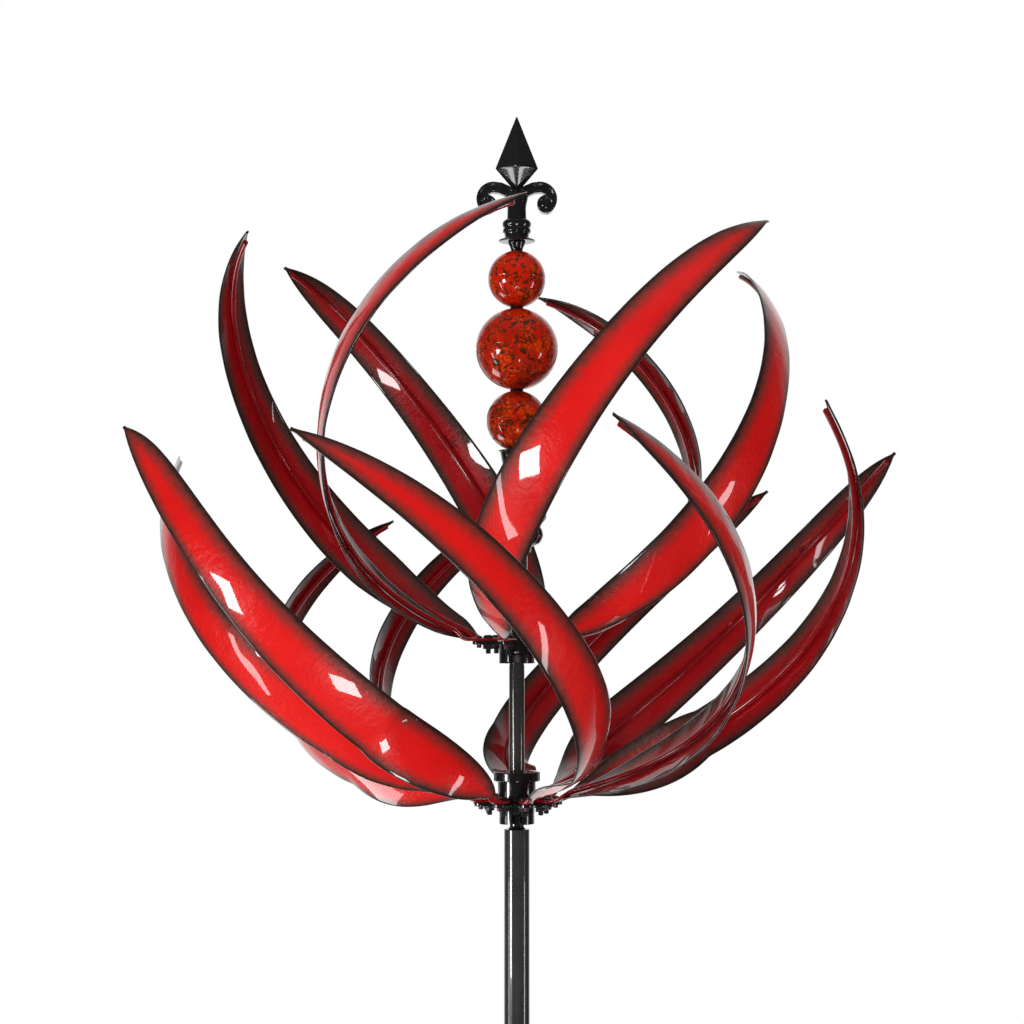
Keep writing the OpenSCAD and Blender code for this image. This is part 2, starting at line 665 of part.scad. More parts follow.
centre_prong();
side_prongs();
step_bar();
lower_pole();
middle_pole();
upper_pole();
pole_couplers();
pole_plug();
spindle_rod();
hub_inner_spacers();
hub_gap_tube();
riser_tube();
turned_ornament();
ball_saucer();
low_ball();
mid_ball();
top_ball();
ball_spacers();
finial_neck();
finial_collar();
finial_spear();
bearing_inner_rings();
lower_hub_sleeve();
lower_hub_plate();
lower_hub_body();
lower_hub_cap();
lower_bearing_outer_rings();
lower_bearing_balls();
lower_blade_stems();
lower_blade_bolts();
lower_blade_nuts();
lower_blade_pins();
lower_blade(0);  // lower_blade_1
lower_blade(1);  // lower_blade_2
lower_blade(2);  // lower_blade_3
lower_blade(3);  // lower_blade_4
lower_blade(4);  // lower_blade_5
lower_blade(5);  // lower_blade_6
lower_blade(6);  // lower_blade_7
lower_blade(7);  // lower_blade_8
lower_blade(8);  // lower_blade_9
upper_hub_sleeve();
upper_hub_plate();
upper_bearing_outer_rings();
upper_bearing_balls();
upper_blade_stems();
upper_blade_bolts();
upper_blade_nuts();
upper_blade_pins();
upper_blade(0);  // upper_blade_1
upper_blade(1);  // upper_blade_2
upper_blade(2);  // upper_blade_3
upper_blade(3);  // upper_blade_4
upper_blade(4);  // upper_blade_5
upper_blade(5);  // upper_blade_6
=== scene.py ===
import math

import bmesh
import bpy
import numpy as np
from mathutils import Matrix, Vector


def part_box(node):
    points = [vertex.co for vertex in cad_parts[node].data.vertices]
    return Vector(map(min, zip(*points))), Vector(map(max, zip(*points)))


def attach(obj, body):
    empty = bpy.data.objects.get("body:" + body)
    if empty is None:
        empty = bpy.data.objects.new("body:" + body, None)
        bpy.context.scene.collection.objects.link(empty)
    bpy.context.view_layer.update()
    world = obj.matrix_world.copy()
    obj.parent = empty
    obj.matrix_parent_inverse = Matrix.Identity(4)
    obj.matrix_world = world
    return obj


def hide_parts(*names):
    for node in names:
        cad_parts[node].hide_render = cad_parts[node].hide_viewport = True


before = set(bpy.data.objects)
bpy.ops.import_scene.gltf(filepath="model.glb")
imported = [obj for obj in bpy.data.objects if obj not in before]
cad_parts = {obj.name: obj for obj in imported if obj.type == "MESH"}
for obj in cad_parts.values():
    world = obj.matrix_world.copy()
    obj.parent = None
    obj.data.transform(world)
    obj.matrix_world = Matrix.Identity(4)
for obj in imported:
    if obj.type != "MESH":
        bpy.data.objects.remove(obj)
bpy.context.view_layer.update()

# ---------------------------------------------------------------------------------------------------
# Camera. It stands in front of the spinner, a little above the top of the pole and tipped up, so that
# both rotors and the finial are seen at eye level and the pole runs out of the picture.
# ---------------------------------------------------------------------------------------------------
mm = 0.001
pole_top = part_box("upper_pole")[1].z
camera_distance = 1.518
camera_left = 0.0036
camera_above_pole_top = 0.1462
camera_tilt = 3.399
focal_length = 71.15
sensor_width = 36.0

camera_data = bpy.data.cameras.new("studio_camera")
camera_data.lens = focal_length
camera_data.sensor_width = sensor_width
camera_data.clip_end = 50
camera = bpy.data.objects.new("studio_camera", camera_data)
camera.location = (-camera_left, -camera_distance, pole_top + camera_above_pole_top)
camera.rotation_euler = (math.radians(90 + camera_tilt), 0, 0)
bpy.context.scene.collection.objects.link(camera)
bpy.context.scene.camera = camera
bpy.context.scene.view_settings.view_transform = "Standard"

# ---------------------------------------------------------------------------------------------------
# Studio. A white sweep behind and a dark room in front. A square softbox, two low boxes and a tall strip
# box on each side draw the gloss, and wide soft fills light the enamel without showing in it.
# ---------------------------------------------------------------------------------------------------
rotor_middle = Vector((0, 0, pole_top + 0.2))


def softbox(name, place, size, power, shows=True):
    """A rectangular light of size (width, height), turned towards the rotors."""
    lamp = bpy.data.lights.new(name, "AREA")
    lamp.shape = "RECTANGLE"
    lamp.size, lamp.size_y = size
    lamp.energy = power
    light = bpy.data.objects.new(name, lamp)
    light.location = place
    aim = Vector((0, 0, place[2])) if size[1] > 2 * size[0] else rotor_middle
    light.rotation_euler = (aim - Vector(place)).to_track_quat("-Z", "Y").to_euler()
    light.visible_camera = False
    light.visible_glossy = shows
    bpy.context.scene.collection.objects.link(light)


softbox("key_box", (-1.95, -1.4, pole_top - 0.1), (0.5, 0.5), 18)
softbox("left_strip", (-2.3, -0.6, pole_top - 0.75), (0.24, 1.3), 8)
softbox("right_strip", (2.3, -0.7, pole_top - 0.75), (0.24, 1.3), 8)
softbox("low_box", (0.05, -1.35, pole_top - 0.8), (0.4, 0.3), 7)
softbox("low_back_box", (-1.3, 0.6, pole_top - 1.1), (0.8, 0.6), 7)
softbox("front_fill", (-0.5, -3.2, pole_top + 0.9), (2.2, 1.8), 40, shows=False)
softbox("top_fill", (0.3, -0.9, pole_top + 2.4), (2.2, 1.6), 24, shows=False)
softbox("low_fill", (0.2, -2.2, pole_top - 1.1), (2.0, 1.0), 9, shows=False)


class Shade:
    """One shader socket. Arithmetic on it adds Math nodes to the same paint."""

    def __init__(self, paint, socket):
        self.paint = paint
        self.socket = socket

    def math(self, operation, first, second):
        return self.paint.add("ShaderNodeMath", {"operation": operation}, {0: first, 1: second})

    def __add__(self, other):
        return self.math("ADD", self, other)

    def __radd__(self, other):
        return self.math("ADD", other, self)

    def __sub__(self, other):
        return self.math("SUBTRACT", self, other)

    def __rsub__(self, other):
        return self.math("SUBTRACT", other, self)

    def __mul__(self, other):
        return self.math("MULTIPLY", self, other)

    def __rmul__(self, other):
        return self.math("MULTIPLY", other, self)


class Paint:
    """A node tree, built one node at a time: a material on the Principled shader, or the world."""

    def __init__(self, name, world=False):
        self.material = (bpy.data.worlds if world else bpy.data.materials).new(name)
        self.material.use_nodes = True
        self.tree = self.material.node_tree
        if world:
            self.tree.nodes.clear()
        else:
            self.shader = next(n for n in self.tree.nodes if n.type == "BSDF_PRINCIPLED")

    def plug(self, socket, value):
        if isinstance(value, Shade):
            self.tree.links.new(value.socket, socket)
        elif hasattr(value, "__len__") and socket.type == "RGBA":
            socket.default_value = (*value, 1)
        else:
            socket.default_value = value

    def add(self, kind, settings, sockets, out=0):
        """Adds a node: its settings first, then the values or links of its sockets."""
        node = self.tree.nodes.new(kind)
        for key, value in settings.items():
            if key == "stops":
                for stop, (at, colour) in zip(node.color_ramp.elements, value):
                    stop.position = at
                    stop.color = (*colour, 1)
            else:
                setattr(node, key, value)
        for key, value in sockets.items():
            self.plug(node.inputs[key], value)
        if node.outputs:
            return Shade(self, node.outputs[out])

    def place(self):
        return self.add("ShaderNodeTexCoord", {}, {}, "Object")

    def stretched(self, scale):
        """Object coordinates, each multiplied by its own number."""
        return self.add("ShaderNodeVectorMath", {"operation": "MULTIPLY"}, {0: self.place(), 1: scale})

    def noise(self, scale, detail=3.0, roughness=0.5, where=None, distortion=0.0):
        sockets = {"Vector": where or self.place(), "Scale": scale, "Detail": detail, "Roughness": roughness,
                   "Distortion": distortion}
        return self.add("ShaderNodeTexNoise", {}, sockets, "Fac")

    def step(self, value, low, high):
        """0 below low, 1 above high and a smooth rise between them."""
        sockets = {"Value": value, "From Min": low, "From Max": high}
        return self.add("ShaderNodeMapRange", {"interpolation_type": "SMOOTHSTEP"}, sockets)

    def blend(self, share, first, second):
        """The first colour where share is 0 and the second where it is 1."""
        return self.add("ShaderNodeMix", {"data_type": "RGBA"}, {0: share, 6: first, 7: second}, 2)

    def bump(self, height, distance, strength=1.0):
        sockets = {"Height": height, "Distance": distance, "Strength": strength}
        return self.add("ShaderNodeBump", {}, sockets)

    def finish(self, **sockets):
        for name, value in sockets.items():
            self.plug(self.shader.inputs[name.replace("_", " ")], value)
        return self.material


sweep = Paint("white_sweep", world=True)
bpy.context.scene.world = sweep.material
direction = sweep.add("ShaderNodeTexCoord", {}, {}, "Generated")
backward = sweep.add("ShaderNodeSeparateXYZ", {}, {0: direction}, "Y")
upward = sweep.add("ShaderNodeSeparateXYZ", {}, {0: direction}, "Z")
room = sweep.step(backward + upward * 0.1, 0.45, 1.0) * 0.95 + sweep.step(upward, 0.2, 1.0) * 0.08 + 0.02
seen = sweep.add("ShaderNodeBackground", {}, {"Color": (1, 1, 1), "Strength": 1.0})
around = sweep.add("ShaderNodeBackground", {}, {"Color": (1, 1, 1), "Strength": room})
straight = sweep.add("ShaderNodeLightPath", {}, {}, "Is Camera Ray")
both = sweep.add("ShaderNodeMixShader", {}, {0: straight, 1: around, 2: seen})
sweep.add("ShaderNodeOutputWorld", {}, {"Surface": both})


def mesh_piece(name, points, faces, sharp=40):
    """A smooth-shaded mesh object with creases where faces meet at more than the sharp angle."""
    mesh = bpy.data.meshes.new(name)
    mesh.from_pydata([tuple(p) for p in points], [], faces)
    mesh.validate()
    piece = bpy.data.objects.new(name, mesh)
    bpy.context.scene.collection.objects.link(piece)
    tidy = bmesh.new()
    tidy.from_mesh(mesh)
    bmesh.ops.remove_doubles(tidy, verts=tidy.verts, dist=1e-7)
    bmesh.ops.recalc_face_normals(tidy, faces=tidy.faces)
    tidy.to_mesh(mesh)
    tidy.free()
    mesh.shade_smooth()
    mesh.set_sharp_from_angle(angle=math.radians(sharp))
    return piece


# The sweep's floor, just under the tip of the fork. It is kept out of the enamel's reflections.
floor_drop = 0.002
floor_size = 5.5
floor_points = [(-floor_size, -floor_size, 0), (floor_size, -floor_size, 0),
                (floor_size, floor_size, 0), (-floor_size, floor_size, 0)]
floor = mesh_piece("floor", floor_points, [(0, 1, 2, 3)])
floor.location.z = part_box("centre_prong")[0].z - floor_drop
floor.data.materials.append(Paint("pale_floor").finish(Base_Color=(0.86, 0.86, 0.86), Roughness=0.6))
floor.visible_glossy = False

# ---------------------------------------------------------------------------------------------------
# Ground fork. Welded up from steel bar and enamelled black: a pointed 14 mm centre prong whose top is
# pushed into the foot of the pole, and a flat step bar that carries two round side prongs.
# ---------------------------------------------------------------------------------------------------


def rounded(corners):
    """Replaces each (x, y, fillet) corner of a closed outline by a short curve of that size."""
    outline = []
    count = len(corners)
    for i, (x, y, size) in enumerate(corners):
        here = np.array((x, y))
        if size == 0:
            outline.append(here)
            continue
        before = np.array(corners[i - 1][:2]) - here
        after = np.array(corners[(i + 1) % count][:2]) - here
        reach_before = min(size, 0.45 * np.linalg.norm(before))
        reach_after = min(size, 0.45 * np.linalg.norm(after))
        start = here + before / np.linalg.norm(before) * reach_before
        end = here + after / np.linalg.norm(after) * reach_after
        for t in (0, 0.25, 0.5, 0.75, 1):
            outline.append((1 - t) ** 2 * start + 2 * t * (1 - t) * here + t * t * end)
    return outline


def turned(name, corners, base=0.0, steps=96):
    """Spins a closed outline of (radius, height, fillet) corners in millimetres round the pole's axis."""
    outline = rounded(corners)
    count = len(outline)
    points = []
    for i in range(steps):
        angle = 2 * math.pi * i / steps
        for radius, height in outline:
            points.append((radius * mm * math.cos(angle), radius * mm * math.sin(angle), base + height * mm))
    faces = []
    for i in range(steps):
        here, there = i * count, (i + 1) % steps * count
        for j in range(count):
            k = (j + 1) % count
            faces.append((here + j, there + j, there + k, here + k))
    return mesh_piece(name, points, faces)


def joined(name, pieces):
    """Makes one object of several."""
    whole = bmesh.new()
    bpy.context.view_layer.update()
    for piece in pieces:
        piece.data.transform(piece.matrix_world)
        whole.from_mesh(piece.data)
        bpy.data.objects.remove(piece)
    mesh = bpy.data.meshes.new(name)
    whole.to_mesh(mesh)
    whole.free()
    result = bpy.data.objects.new(name, mesh)
    bpy.context.scene.collection.objects.link(result)
    return result


def fit(piece, material, body, slot, *nodes):
    """Paints a piece, lets it ride on its body and lets it stand for its CAD nodes."""
    piece.data.materials.clear()
    piece.data.materials.append(material)
    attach(piece, body)
    if nodes:
        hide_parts(*nodes)


def size_of(node):
    """A turned node's height and radius in millimetres and its foot in metres."""
    low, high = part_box(node)
    return (high.z - low.z) / mm, high.x / mm, low.z


soil = Paint("fork_enamel")
scuffs = soil.step(soil.noise(60, 6, 0.7), 0.55, 0.72)
fork_enamel = soil.finish(
    Base_Color=soil.blend(scuffs, (0.008, 0.008, 0.009), (0.05, 0.042, 0.036)),
    Roughness=0.22 + 0.3 * scuffs,
    Coat_Weight=0.6,
    Coat_Roughness=0.1,
    Normal=soil.bump(soil.noise(500, 3), 0.00005, 0.6),
)

prong_low, prong_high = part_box("side_prongs")
prong_r = (prong_high.y - prong_low.y) / 2 / mm
prong_x = prong_high.x - prong_r * mm
bar_low, bar_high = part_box("step_bar")
bar_half_width = (bar_high.y - bar_low.y) / 2 / mm
pole_r = size_of("upper_pole")[1]
bore_r = pole_r - 1.5

centre_length, plug_r, centre_foot = size_of("centre_prong")
centre_r = 7.0
centre_point = 32
shoulder = (bar_low.z - centre_foot) / mm
centre = turned("centre_prong", [
    (0.1, 0, 0), (1.4, 1.2, 0.8), (centre_r, centre_point, 3), (centre_r, shoulder, 0.2),
    (plug_r, shoulder, 0), (plug_r, centre_length, 0.6), (0.1, centre_length, 0),
], centre_foot)
fit(centre, fork_enamel, "stand", "gloss_black", "centre_prong")

side_point = 22.4
prong_length = (prong_high.z - prong_low.z) / mm
prongs = []
for side in (-1, 1):
    prong = turned("prong", [
        (0.1, 0, 0), (1.2, 1.0, 0.6), (prong_r, side_point, 3), (prong_r, prong_length, 0.3),
        (0.1, prong_length, 0),
    ], prong_low.z, 48)
    weld = turned("weld", [
        (prong_r - 0.3, -1.6, 0), (prong_r + 1.1, -0.9, 0.8), (prong_r + 2.0, 0, 0.2), (prong_r - 0.3, 0, 0),
    ], bar_low.z, 48)
    for part in (prong, weld):
        part.location.x = side * prong_x
        prongs.append(part)
fit(joined("side_prongs", prongs), fork_enamel, "stand", "gloss_black", "side_prongs")


def bar_outline(half_length, half_width, steps=24):
    """A flat bar with half-round ends, as corners round its middle."""
    outline = []
    for end in (1, -1):
        for i in range(steps + 1):
            angle = math.pi * (i / steps - 0.5)
            x = half_length + half_width * math.cos(angle)
            outline.append((end * x, end * half_width * math.sin(angle)))
    return outline


def plate(name, outline, hole_r, z0, z1, edge):
    """A flat plate with a hole: an outline in millimetres, its edges broken, between two heights."""
    count = len(outline)
    flat = np.array(outline) * mm
    size = np.linalg.norm(flat, axis=1)[:, None]
    hole = flat / size * hole_r * mm
    inset = flat * (1 - edge * mm / size)
    rings = []
    for ring, z in ((hole, z0), (inset, z0), (flat, z0 + edge * mm),
                    (flat, z1 - edge * mm), (inset, z1), (hole, z1)):
        rings.append([(x, y, z) for x, y in ring])
    points = [p for ring in rings for p in ring]
    faces = []
    for r in range(len(rings)):
        here, there = r * count, (r + 1) % len(rings) * count
        for i in range(count):
            j = (i + 1) % count
            faces.append((here + i, here + j, there + j, there + i))
    return mesh_piece(name, points, faces, 30)


step = plate("step", bar_outline(bar_high.x / mm - bar_half_width, bar_half_width), bore_r,
             bar_low.z, bar_high.z, 0.6)
foot_weld = turned("weld", [
    (pole_r, 0, 0), (pole_r + 2.6, 0, 0.4), (pole_r + 1.2, 1.3, 1.2), (pole_r, 2.4, 0),
], bar_high.z)
fit(joined("step_bar", [step, foot_weld]), fork_enamel, "stand", "gloss_black", "step_bar")

# ---------------------------------------------------------------------------------------------------
# Pole. Three lengths of thin 19 mm steel tube in gloss black enamel, pushed together over inner
# sleeves, with the cut ends slightly rounded so that each joint shows as a fine line.
# ---------------------------------------------------------------------------------------------------
tube_paint = Paint("tube_enamel_painted_sheen")
tube_grain = tube_paint.noise(400, 3, 0.5, tube_paint.stretched((1, 1, 0.02)))
tube_dust = tube_paint.noise(35, 5, 0.65)
# The tube's black is lifted to a dark grey all over. This is a painted sheen that stands in for the broad
# grey reflection down the tubes, and the dust noise varies it.
tube_enamel_painted_sheen = tube_paint.finish(
    Base_Color=tube_paint.blend(tube_dust, (0.018, 0.018, 0.018), (0.045, 0.044, 0.042)),
    Roughness=0.14 + 0.14 * tube_dust,
    Coat_Weight=1.0,
    Coat_Roughness=0.03,
    Normal=tube_paint.bump(tube_grain, 0.00003, 0.5),
)
for name in ("lower_pole", "middle_pole", "upper_pole"):
    length, radius, foot = size_of(name)
    tube = turned(name, [
        (bore_r, 0, 0.2), (radius, 0, 0.5), (radius, length, 0.5), (bore_r, length, 0.2),
    ], foot)
    fit(tube, tube_enamel_painted_sheen, "stand", "gloss_black", name)

enamel = Paint("black_enamel")
orange_peel = enamel.noise(900, 2)
dust = enamel.noise(140, 4, 0.6)
black_enamel = enamel.finish(
    Base_Color=enamel.blend(dust, (0.004, 0.004, 0.005), (0.011, 0.011, 0.012)),
    Roughness=0.16 + 0.12 * dust,
    Coat_Weight=1.0,
    Coat_Roughness=0.035,
    Normal=enamel.bump(orange_peel, 0.00004, 0.5),
)


def repaint(material, *nodes):
    """Gives CAD nodes that keep their shape a better finish."""
    for node in nodes:
        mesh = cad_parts[node].data
        mesh.materials.clear()
        mesh.materials.append(material)


repaint(black_enamel, "pole_couplers")

# ---------------------------------------------------------------------------------------------------
# Spindle. A turned plug closes the pole and holds the fixed 8 mm rod. Its narrow neck carries the
# lowest bearing. A black spacer tube stands between the two hubs and a wider one above the upper hub.
# ---------------------------------------------------------------------------------------------------
rod_hole = size_of("spindle_rod")[1] + 0.05
race_r = size_of("bearing_inner_rings")[1]
neck_r = 5.25
plug_length, plug_r, plug_foot = size_of("pole_plug")
plug_depth = (pole_top - plug_foot) / mm
plug = turned("pole_plug", [
    (rod_hole, 0, 0), (plug_r, 0, 0.4), (plug_r, plug_depth, 0.3), (neck_r + 1.6, plug_depth, 0.4),
    (neck_r, plug_depth + 1.6, 1.0), (neck_r, plug_length, 0.2), (rod_hole, plug_length, 0),
], plug_foot)
fit(plug, black_enamel, "stand", "gloss_black", "pole_plug")

end_play = 0.4
lower_nose = 1.8
gap_length, gap_r, gap_foot = size_of("hub_gap_tube")
gap_tube = turned("hub_gap_tube", [
    (rod_hole, 0, 0), (race_r, 0, 0), (race_r, end_play, 0), (gap_r, end_play, 0.3),
    (gap_r, gap_length - lower_nose, 0.3), (race_r, gap_length - lower_nose, 0), (race_r, gap_length, 0),
    (rod_hole, gap_length, 0),
], gap_foot)
fit(gap_tube, tube_enamel_painted_sheen, "stand", "gloss_black", "hub_gap_tube")

riser_nose = 2.9
riser_length, riser_r, riser_foot = size_of("riser_tube")
riser = turned("riser_tube", [
    (rod_hole, 0, 0), (race_r, 0, 0), (race_r, riser_nose, 0), (riser_r, riser_nose, 0.6),
    (riser_r, riser_length, 0.4), (rod_hole, riser_length, 0),
], riser_foot)
fit(riser, tube_enamel_painted_sheen, "stand", "gloss_black", "riser_tube")

# The rod, the bearings and the spacers inside the hubs are bright ground steel.
steel = Paint("ground_steel")
grinding = steel.noise(700, 2, 0.5, steel.stretched((1, 1, 8)))
ground_steel = steel.finish(
    Base_Color=steel.blend(grinding, (0.50, 0.50, 0.52), (0.68, 0.68, 0.70)),
    Metallic=1.0,
    Roughness=0.22 + 0.16 * grinding,
    Normal=steel.bump(grinding, 0.00002, 0.4),
)
repaint(ground_steel, "spindle_rod", "hub_inner_spacers", "bearing_inner_rings", "lower_bearing_outer_rings",
        "upper_bearing_outer_rings", "lower_bearing_balls", "upper_bearing_balls")

# ---------------------------------------------------------------------------------------------------
# Hubs. Each rotor turns on two small bearings in a black turned sleeve. The sleeve has a round-topped
# slot at the front and is welded under a star plate; the lower hub has a body and a cap above it too.
# ---------------------------------------------------------------------------------------------------
sleeve_h, sleeve_r, _ = size_of("lower_hub_sleeve")
bearing_r = size_of("lower_bearing_outer_rings")[1]
bearing_w = 5.0
seat_r = bearing_r - 1.3
slot_w, slot_h = 7.5, 9.0


def slot_cutter(base):
    """A bar with a half-round top that runs from the axis out to the front."""
    outline = [(-slot_w / 2, -2), (slot_w / 2, -2)]
    for i in range(17):
        angle = math.pi * i / 16
        outline.append((slot_w / 2 * math.cos(angle), slot_h - slot_w / 2 + slot_w / 2 * math.sin(angle)))
    count = len(outline)
    points = [(x * mm, y, base + z * mm) for y in (-0.04, 0.0) for x, z in outline]
    faces = [tuple(range(count)), tuple(range(2 * count - 1, count - 1, -1))]
    faces += [(i, (i + 1) % count, count + (i + 1) % count, count + i) for i in range(count)]
    return mesh_piece("slot_cutter", points, faces)


def settle(piece):
    """Applies the piece's modifiers."""
    bpy.context.view_layer.update()
    graph = bpy.context.evaluated_depsgraph_get()
    mesh = bpy.data.meshes.new_from_object(piece.evaluated_get(graph))
    piece.modifiers.clear()
    piece.data = mesh
    mesh.shade_smooth()
    mesh.set_sharp_from_angle(angle=math.radians(50))


for rotor in ("lower", "upper"):
    name = rotor + "_hub_sleeve"
    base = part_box(name)[0].z
    seat = (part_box(rotor + "_bearing_outer_rings")[0].z - base) / mm
    sleeve = turned(name, [
        (seat_r, 0, 0), (sleeve_r, 0, 0), (sleeve_r, sleeve_h, 0), (bearing_r, sleeve_h, 0),
        (bearing_r, seat, 0), (seat_r, seat, 0),
    ], base)
    cutter = slot_cutter(base)
    cut = sleeve.modifiers.new("slot", "BOOLEAN")
    cut.operation = "DIFFERENCE"
    cut.solver = "EXACT"
    cut.object = cutter
    edges = sleeve.modifiers.new("edges", "BEVEL")
    edges.width = 0.45 * mm
    edges.segments = 3
    edges.limit_method = "ANGLE"
    edges.angle_limit = math.radians(35)
    settle(sleeve)
    bpy.data.objects.remove(cutter)
    fit(sleeve, black_enamel, rotor + "_rotor", "gloss_black", name)

body_h, body_r, body_foot = size_of("lower_hub_body")
hub_body = turned("lower_hub_body", [
    (seat_r, 0, 0.3), (body_r - 0.6, 0, 0.3), (body_r, 1.2, 0.5), (body_r, body_h, 0.5),
    (bearing_r, body_h, 0.3), (bearing_r, body_h - bearing_w, 0), (seat_r, body_h - bearing_w, 0),
], body_foot)
fit(hub_body, black_enamel, "lower_rotor", "gloss_black", "lower_hub_body")

cap_h, cap_r, cap_foot = size_of("lower_hub_cap")
cap_t = 2.0
cap_hole = gap_r + 0.4
hub_cap = turned("lower_hub_cap", [
    (body_r + 0.05, 0, 0.3), (cap_r - 0.5, 0, 0.4), (cap_r, 0.5, 0.4), (cap_r, cap_h, 0.9),
    (cap_hole + 1.5, cap_h, 0.3), (cap_hole + 1.2, cap_h - 0.5, 0.2), (cap_hole, cap_h - 0.5, 0.3),
    (cap_hole, cap_h - cap_t, 0),
    (body_r + 0.05, cap_h - cap_t, 0),
], cap_foot)
fit(hub_cap, black_enamel, "lower_rotor", "gloss_black", "lower_hub_cap")

# The star plates: laser-cut steel, one round-ended arm for each blade.
plate_middle_r = 16.0
arm_w = 9.5
arm_end = 34.0
winding = {"lower": (9, 6, 47.5), "upper": (6, 0, -75.5)}


def arm_azimuths(rotor):
    """Directions of the arms, from the blades' number, first tip and winding angle."""
    count, first, sweep = winding[rotor]
    return [math.radians(first + sweep + 360 * i / count - 90) for i in range(count)]


def star_outline(azimuths, steps=900):
    """The outer edge of a disc with parallel-sided, round-ended arms."""
    tip_centre = arm_end - arm_w / 2
    outline = []
    for i in range(steps):
        angle = 2 * math.pi * i / steps
        reach = plate_middle_r
        for azimuth in azimuths:
            across = math.sin(angle - azimuth)
            along = math.cos(angle - azimuth)
            if along <= 0:
                continue
            inside = (arm_w / 2) ** 2 - (tip_centre * across) ** 2
            if inside >= 0:
                reach = max(reach, tip_centre * along + math.sqrt(inside))
            elif arm_w / 2 / abs(across) < tip_centre:
                reach = max(reach, arm_w / 2 / abs(across))
        outline.append((reach * math.cos(angle), reach * math.sin(angle)))
    return outline


for rotor in ("lower", "upper"):
    name = rotor + "_hub_plate"
    low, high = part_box(name)
    star = plate(name, star_outline(arm_azimuths(rotor)), seat_r, low.z, high.z, 0.35)
    fit(star, black_enamel, rotor + "_rotor", "gloss_black", name)

# ---------------------------------------------------------------------------------------------------
# Blades. Each is a long pointed leaf of 1.2 mm steel sheet, pressed to a shallow channel, bent inwards
# and twisted, enamelled gloss red and then sprayed dark along its edges and at its tip. No two are
# bent quite alike: each is swung, tilted, wound and leant a little by hand.
# ---------------------------------------------------------------------------------------------------
sheet_t = 1.2
root_lift = 0.4
swing_done = 0.25
tip_w = 2.4
families = {
    "lower": dict(
        root=29, tip=325, rise=249, turn=47.5, width=43.5, camber=0.06, side=1,
        sheet_start=0.03, root_taper=0.17,
        r_share=(0, 0.29, 0.685, 0.84, 0.9, 1), z_share=(0, 0.08, 0.21, 0.54, 0.88, 1),
        turn_share=(1, 1.315, 0.73, 0.78, 0.25, 0), width_share=(0.76, 1.21, 1.1, 0.39, 1.15, 0),
        twist=(-40, -11.5, -18.5, -46), foot_start=15.5,
        bends=((0, 2, 5.5, -0.5), (-13.5, 6.5, 5, 11.5), (12.5, 3.5, -6, -9.5), (9, -2, -7, -20),
               (6.5, -1.5, 4, 0), (-9, -8, -3, 3), (-4.5, 6.5, 4.5, 3.5), (-19.5, 11, 16, -1),
               (6.5, 0, 2.5, 0.5))),
    "upper": dict(
        root=36, tip=208, rise=294, turn=-75.5, width=43.5, camber=0.05, side=-1,
        sheet_start=0.012, root_taper=0.06,
        r_share=(0, 0.58, 0.98, 1.04, 0.975, 1), z_share=(0, 0.1, 0.35, 0.66, 0.92, 1),
        turn_share=(1, 0.915, 0.695, 0.615, 0.3, 0), width_share=(0.3, 1.25, 1.48, 0.03, 1.37, 0),
        twist=(-20, -12.5, -28, -59), foot_start=9.5,
        bends=((0, 2, -1, 0), (-3, -1, 0, 1.5), (3, 2, -8.5, -2.5), (0, -0.5, -4.5, -0.5), (4.5, 7, -3, -6.5),
               (-4.5, -3.5, 3.5, -1))),
}


def bezier(controls, s):
    """A Bezier curve through its control values, at shares s of the length."""
    n = len(controls) - 1
    return sum(math.comb(n, i) * s ** i * (1 - s) ** (n - i) * c for i, c in enumerate(controls))


def unit(v):
    return v / np.linalg.norm(v, axis=1)[:, None]


def blade_line(family, number, s):
    """Centreline, width direction, outward direction, width and tangent of a blade at shares s."""
    swing, tilt, wind, lean = family["bends"][number]

    def centre_at(t):
        ease = np.clip(t / swing_done, 0, 1)
        reach = bezier(family["r_share"], t) + lean / 100 * t * t
        turn = family["turn"] * (bezier(family["turn_share"], t) - 1) + swing * ease * ease * (3 - 2 * ease)
        turn = np.radians(turn + wind * t * t)
        radius = family["root"] + (family["tip"] - family["root"]) * reach
        height = root_lift + family["rise"] * bezier(family["z_share"], t)
        return np.stack([radius * np.cos(turn), radius * np.sin(turn), height], 1)

    near = 0.004
    centre = centre_at(s)
    tangent = unit(centre_at(np.minimum(1, s + near)) - centre_at(np.maximum(0, s - near)))
    out = unit(centre * (1, 1, 0))
    normal = unit(out - (out * tangent).sum(1)[:, None] * tangent)
    across = np.cross(tangent, normal) * family["side"]
    twist = np.radians(bezier(family["twist"], s))[:, None]
    width_way = across * np.cos(twist) + normal * np.sin(twist)
    out_way = normal * np.cos(twist) - across * np.sin(twist)
    width = np.maximum(tip_w, family["width"] * bezier(family["width_share"], s))
    return centre, width_way, out_way, width, tangent


def on_arm(family, azimuth, height, points, tilt=0.0):
    """Tilts points about the root and turns them onto their arm, in metres."""
    t = math.radians(tilt)
    x, y, z = points[:, 0] - family["root"], points[:, 1], points[:, 2]
    x, z = family["root"] + x * math.cos(t) - z * math.sin(t), x * math.sin(t) + z * math.cos(t)
    return np.stack([(x * math.cos(azimuth) - y * math.sin(azimuth)) * mm,
                     (x * math.sin(azimuth) + y * math.cos(azimuth)) * mm, height + z * mm], 1)


stations = 150
lanes = 24
# How fast the sprayed dark fades, away from the upper edge, the lower edge and the tip.
upper_fade, lower_fade, tip_fade = 0.80, 1.15, 0.24
edge_turns = np.linspace(0, math.pi, 5)[1:-1]
edge_swell = 0.028


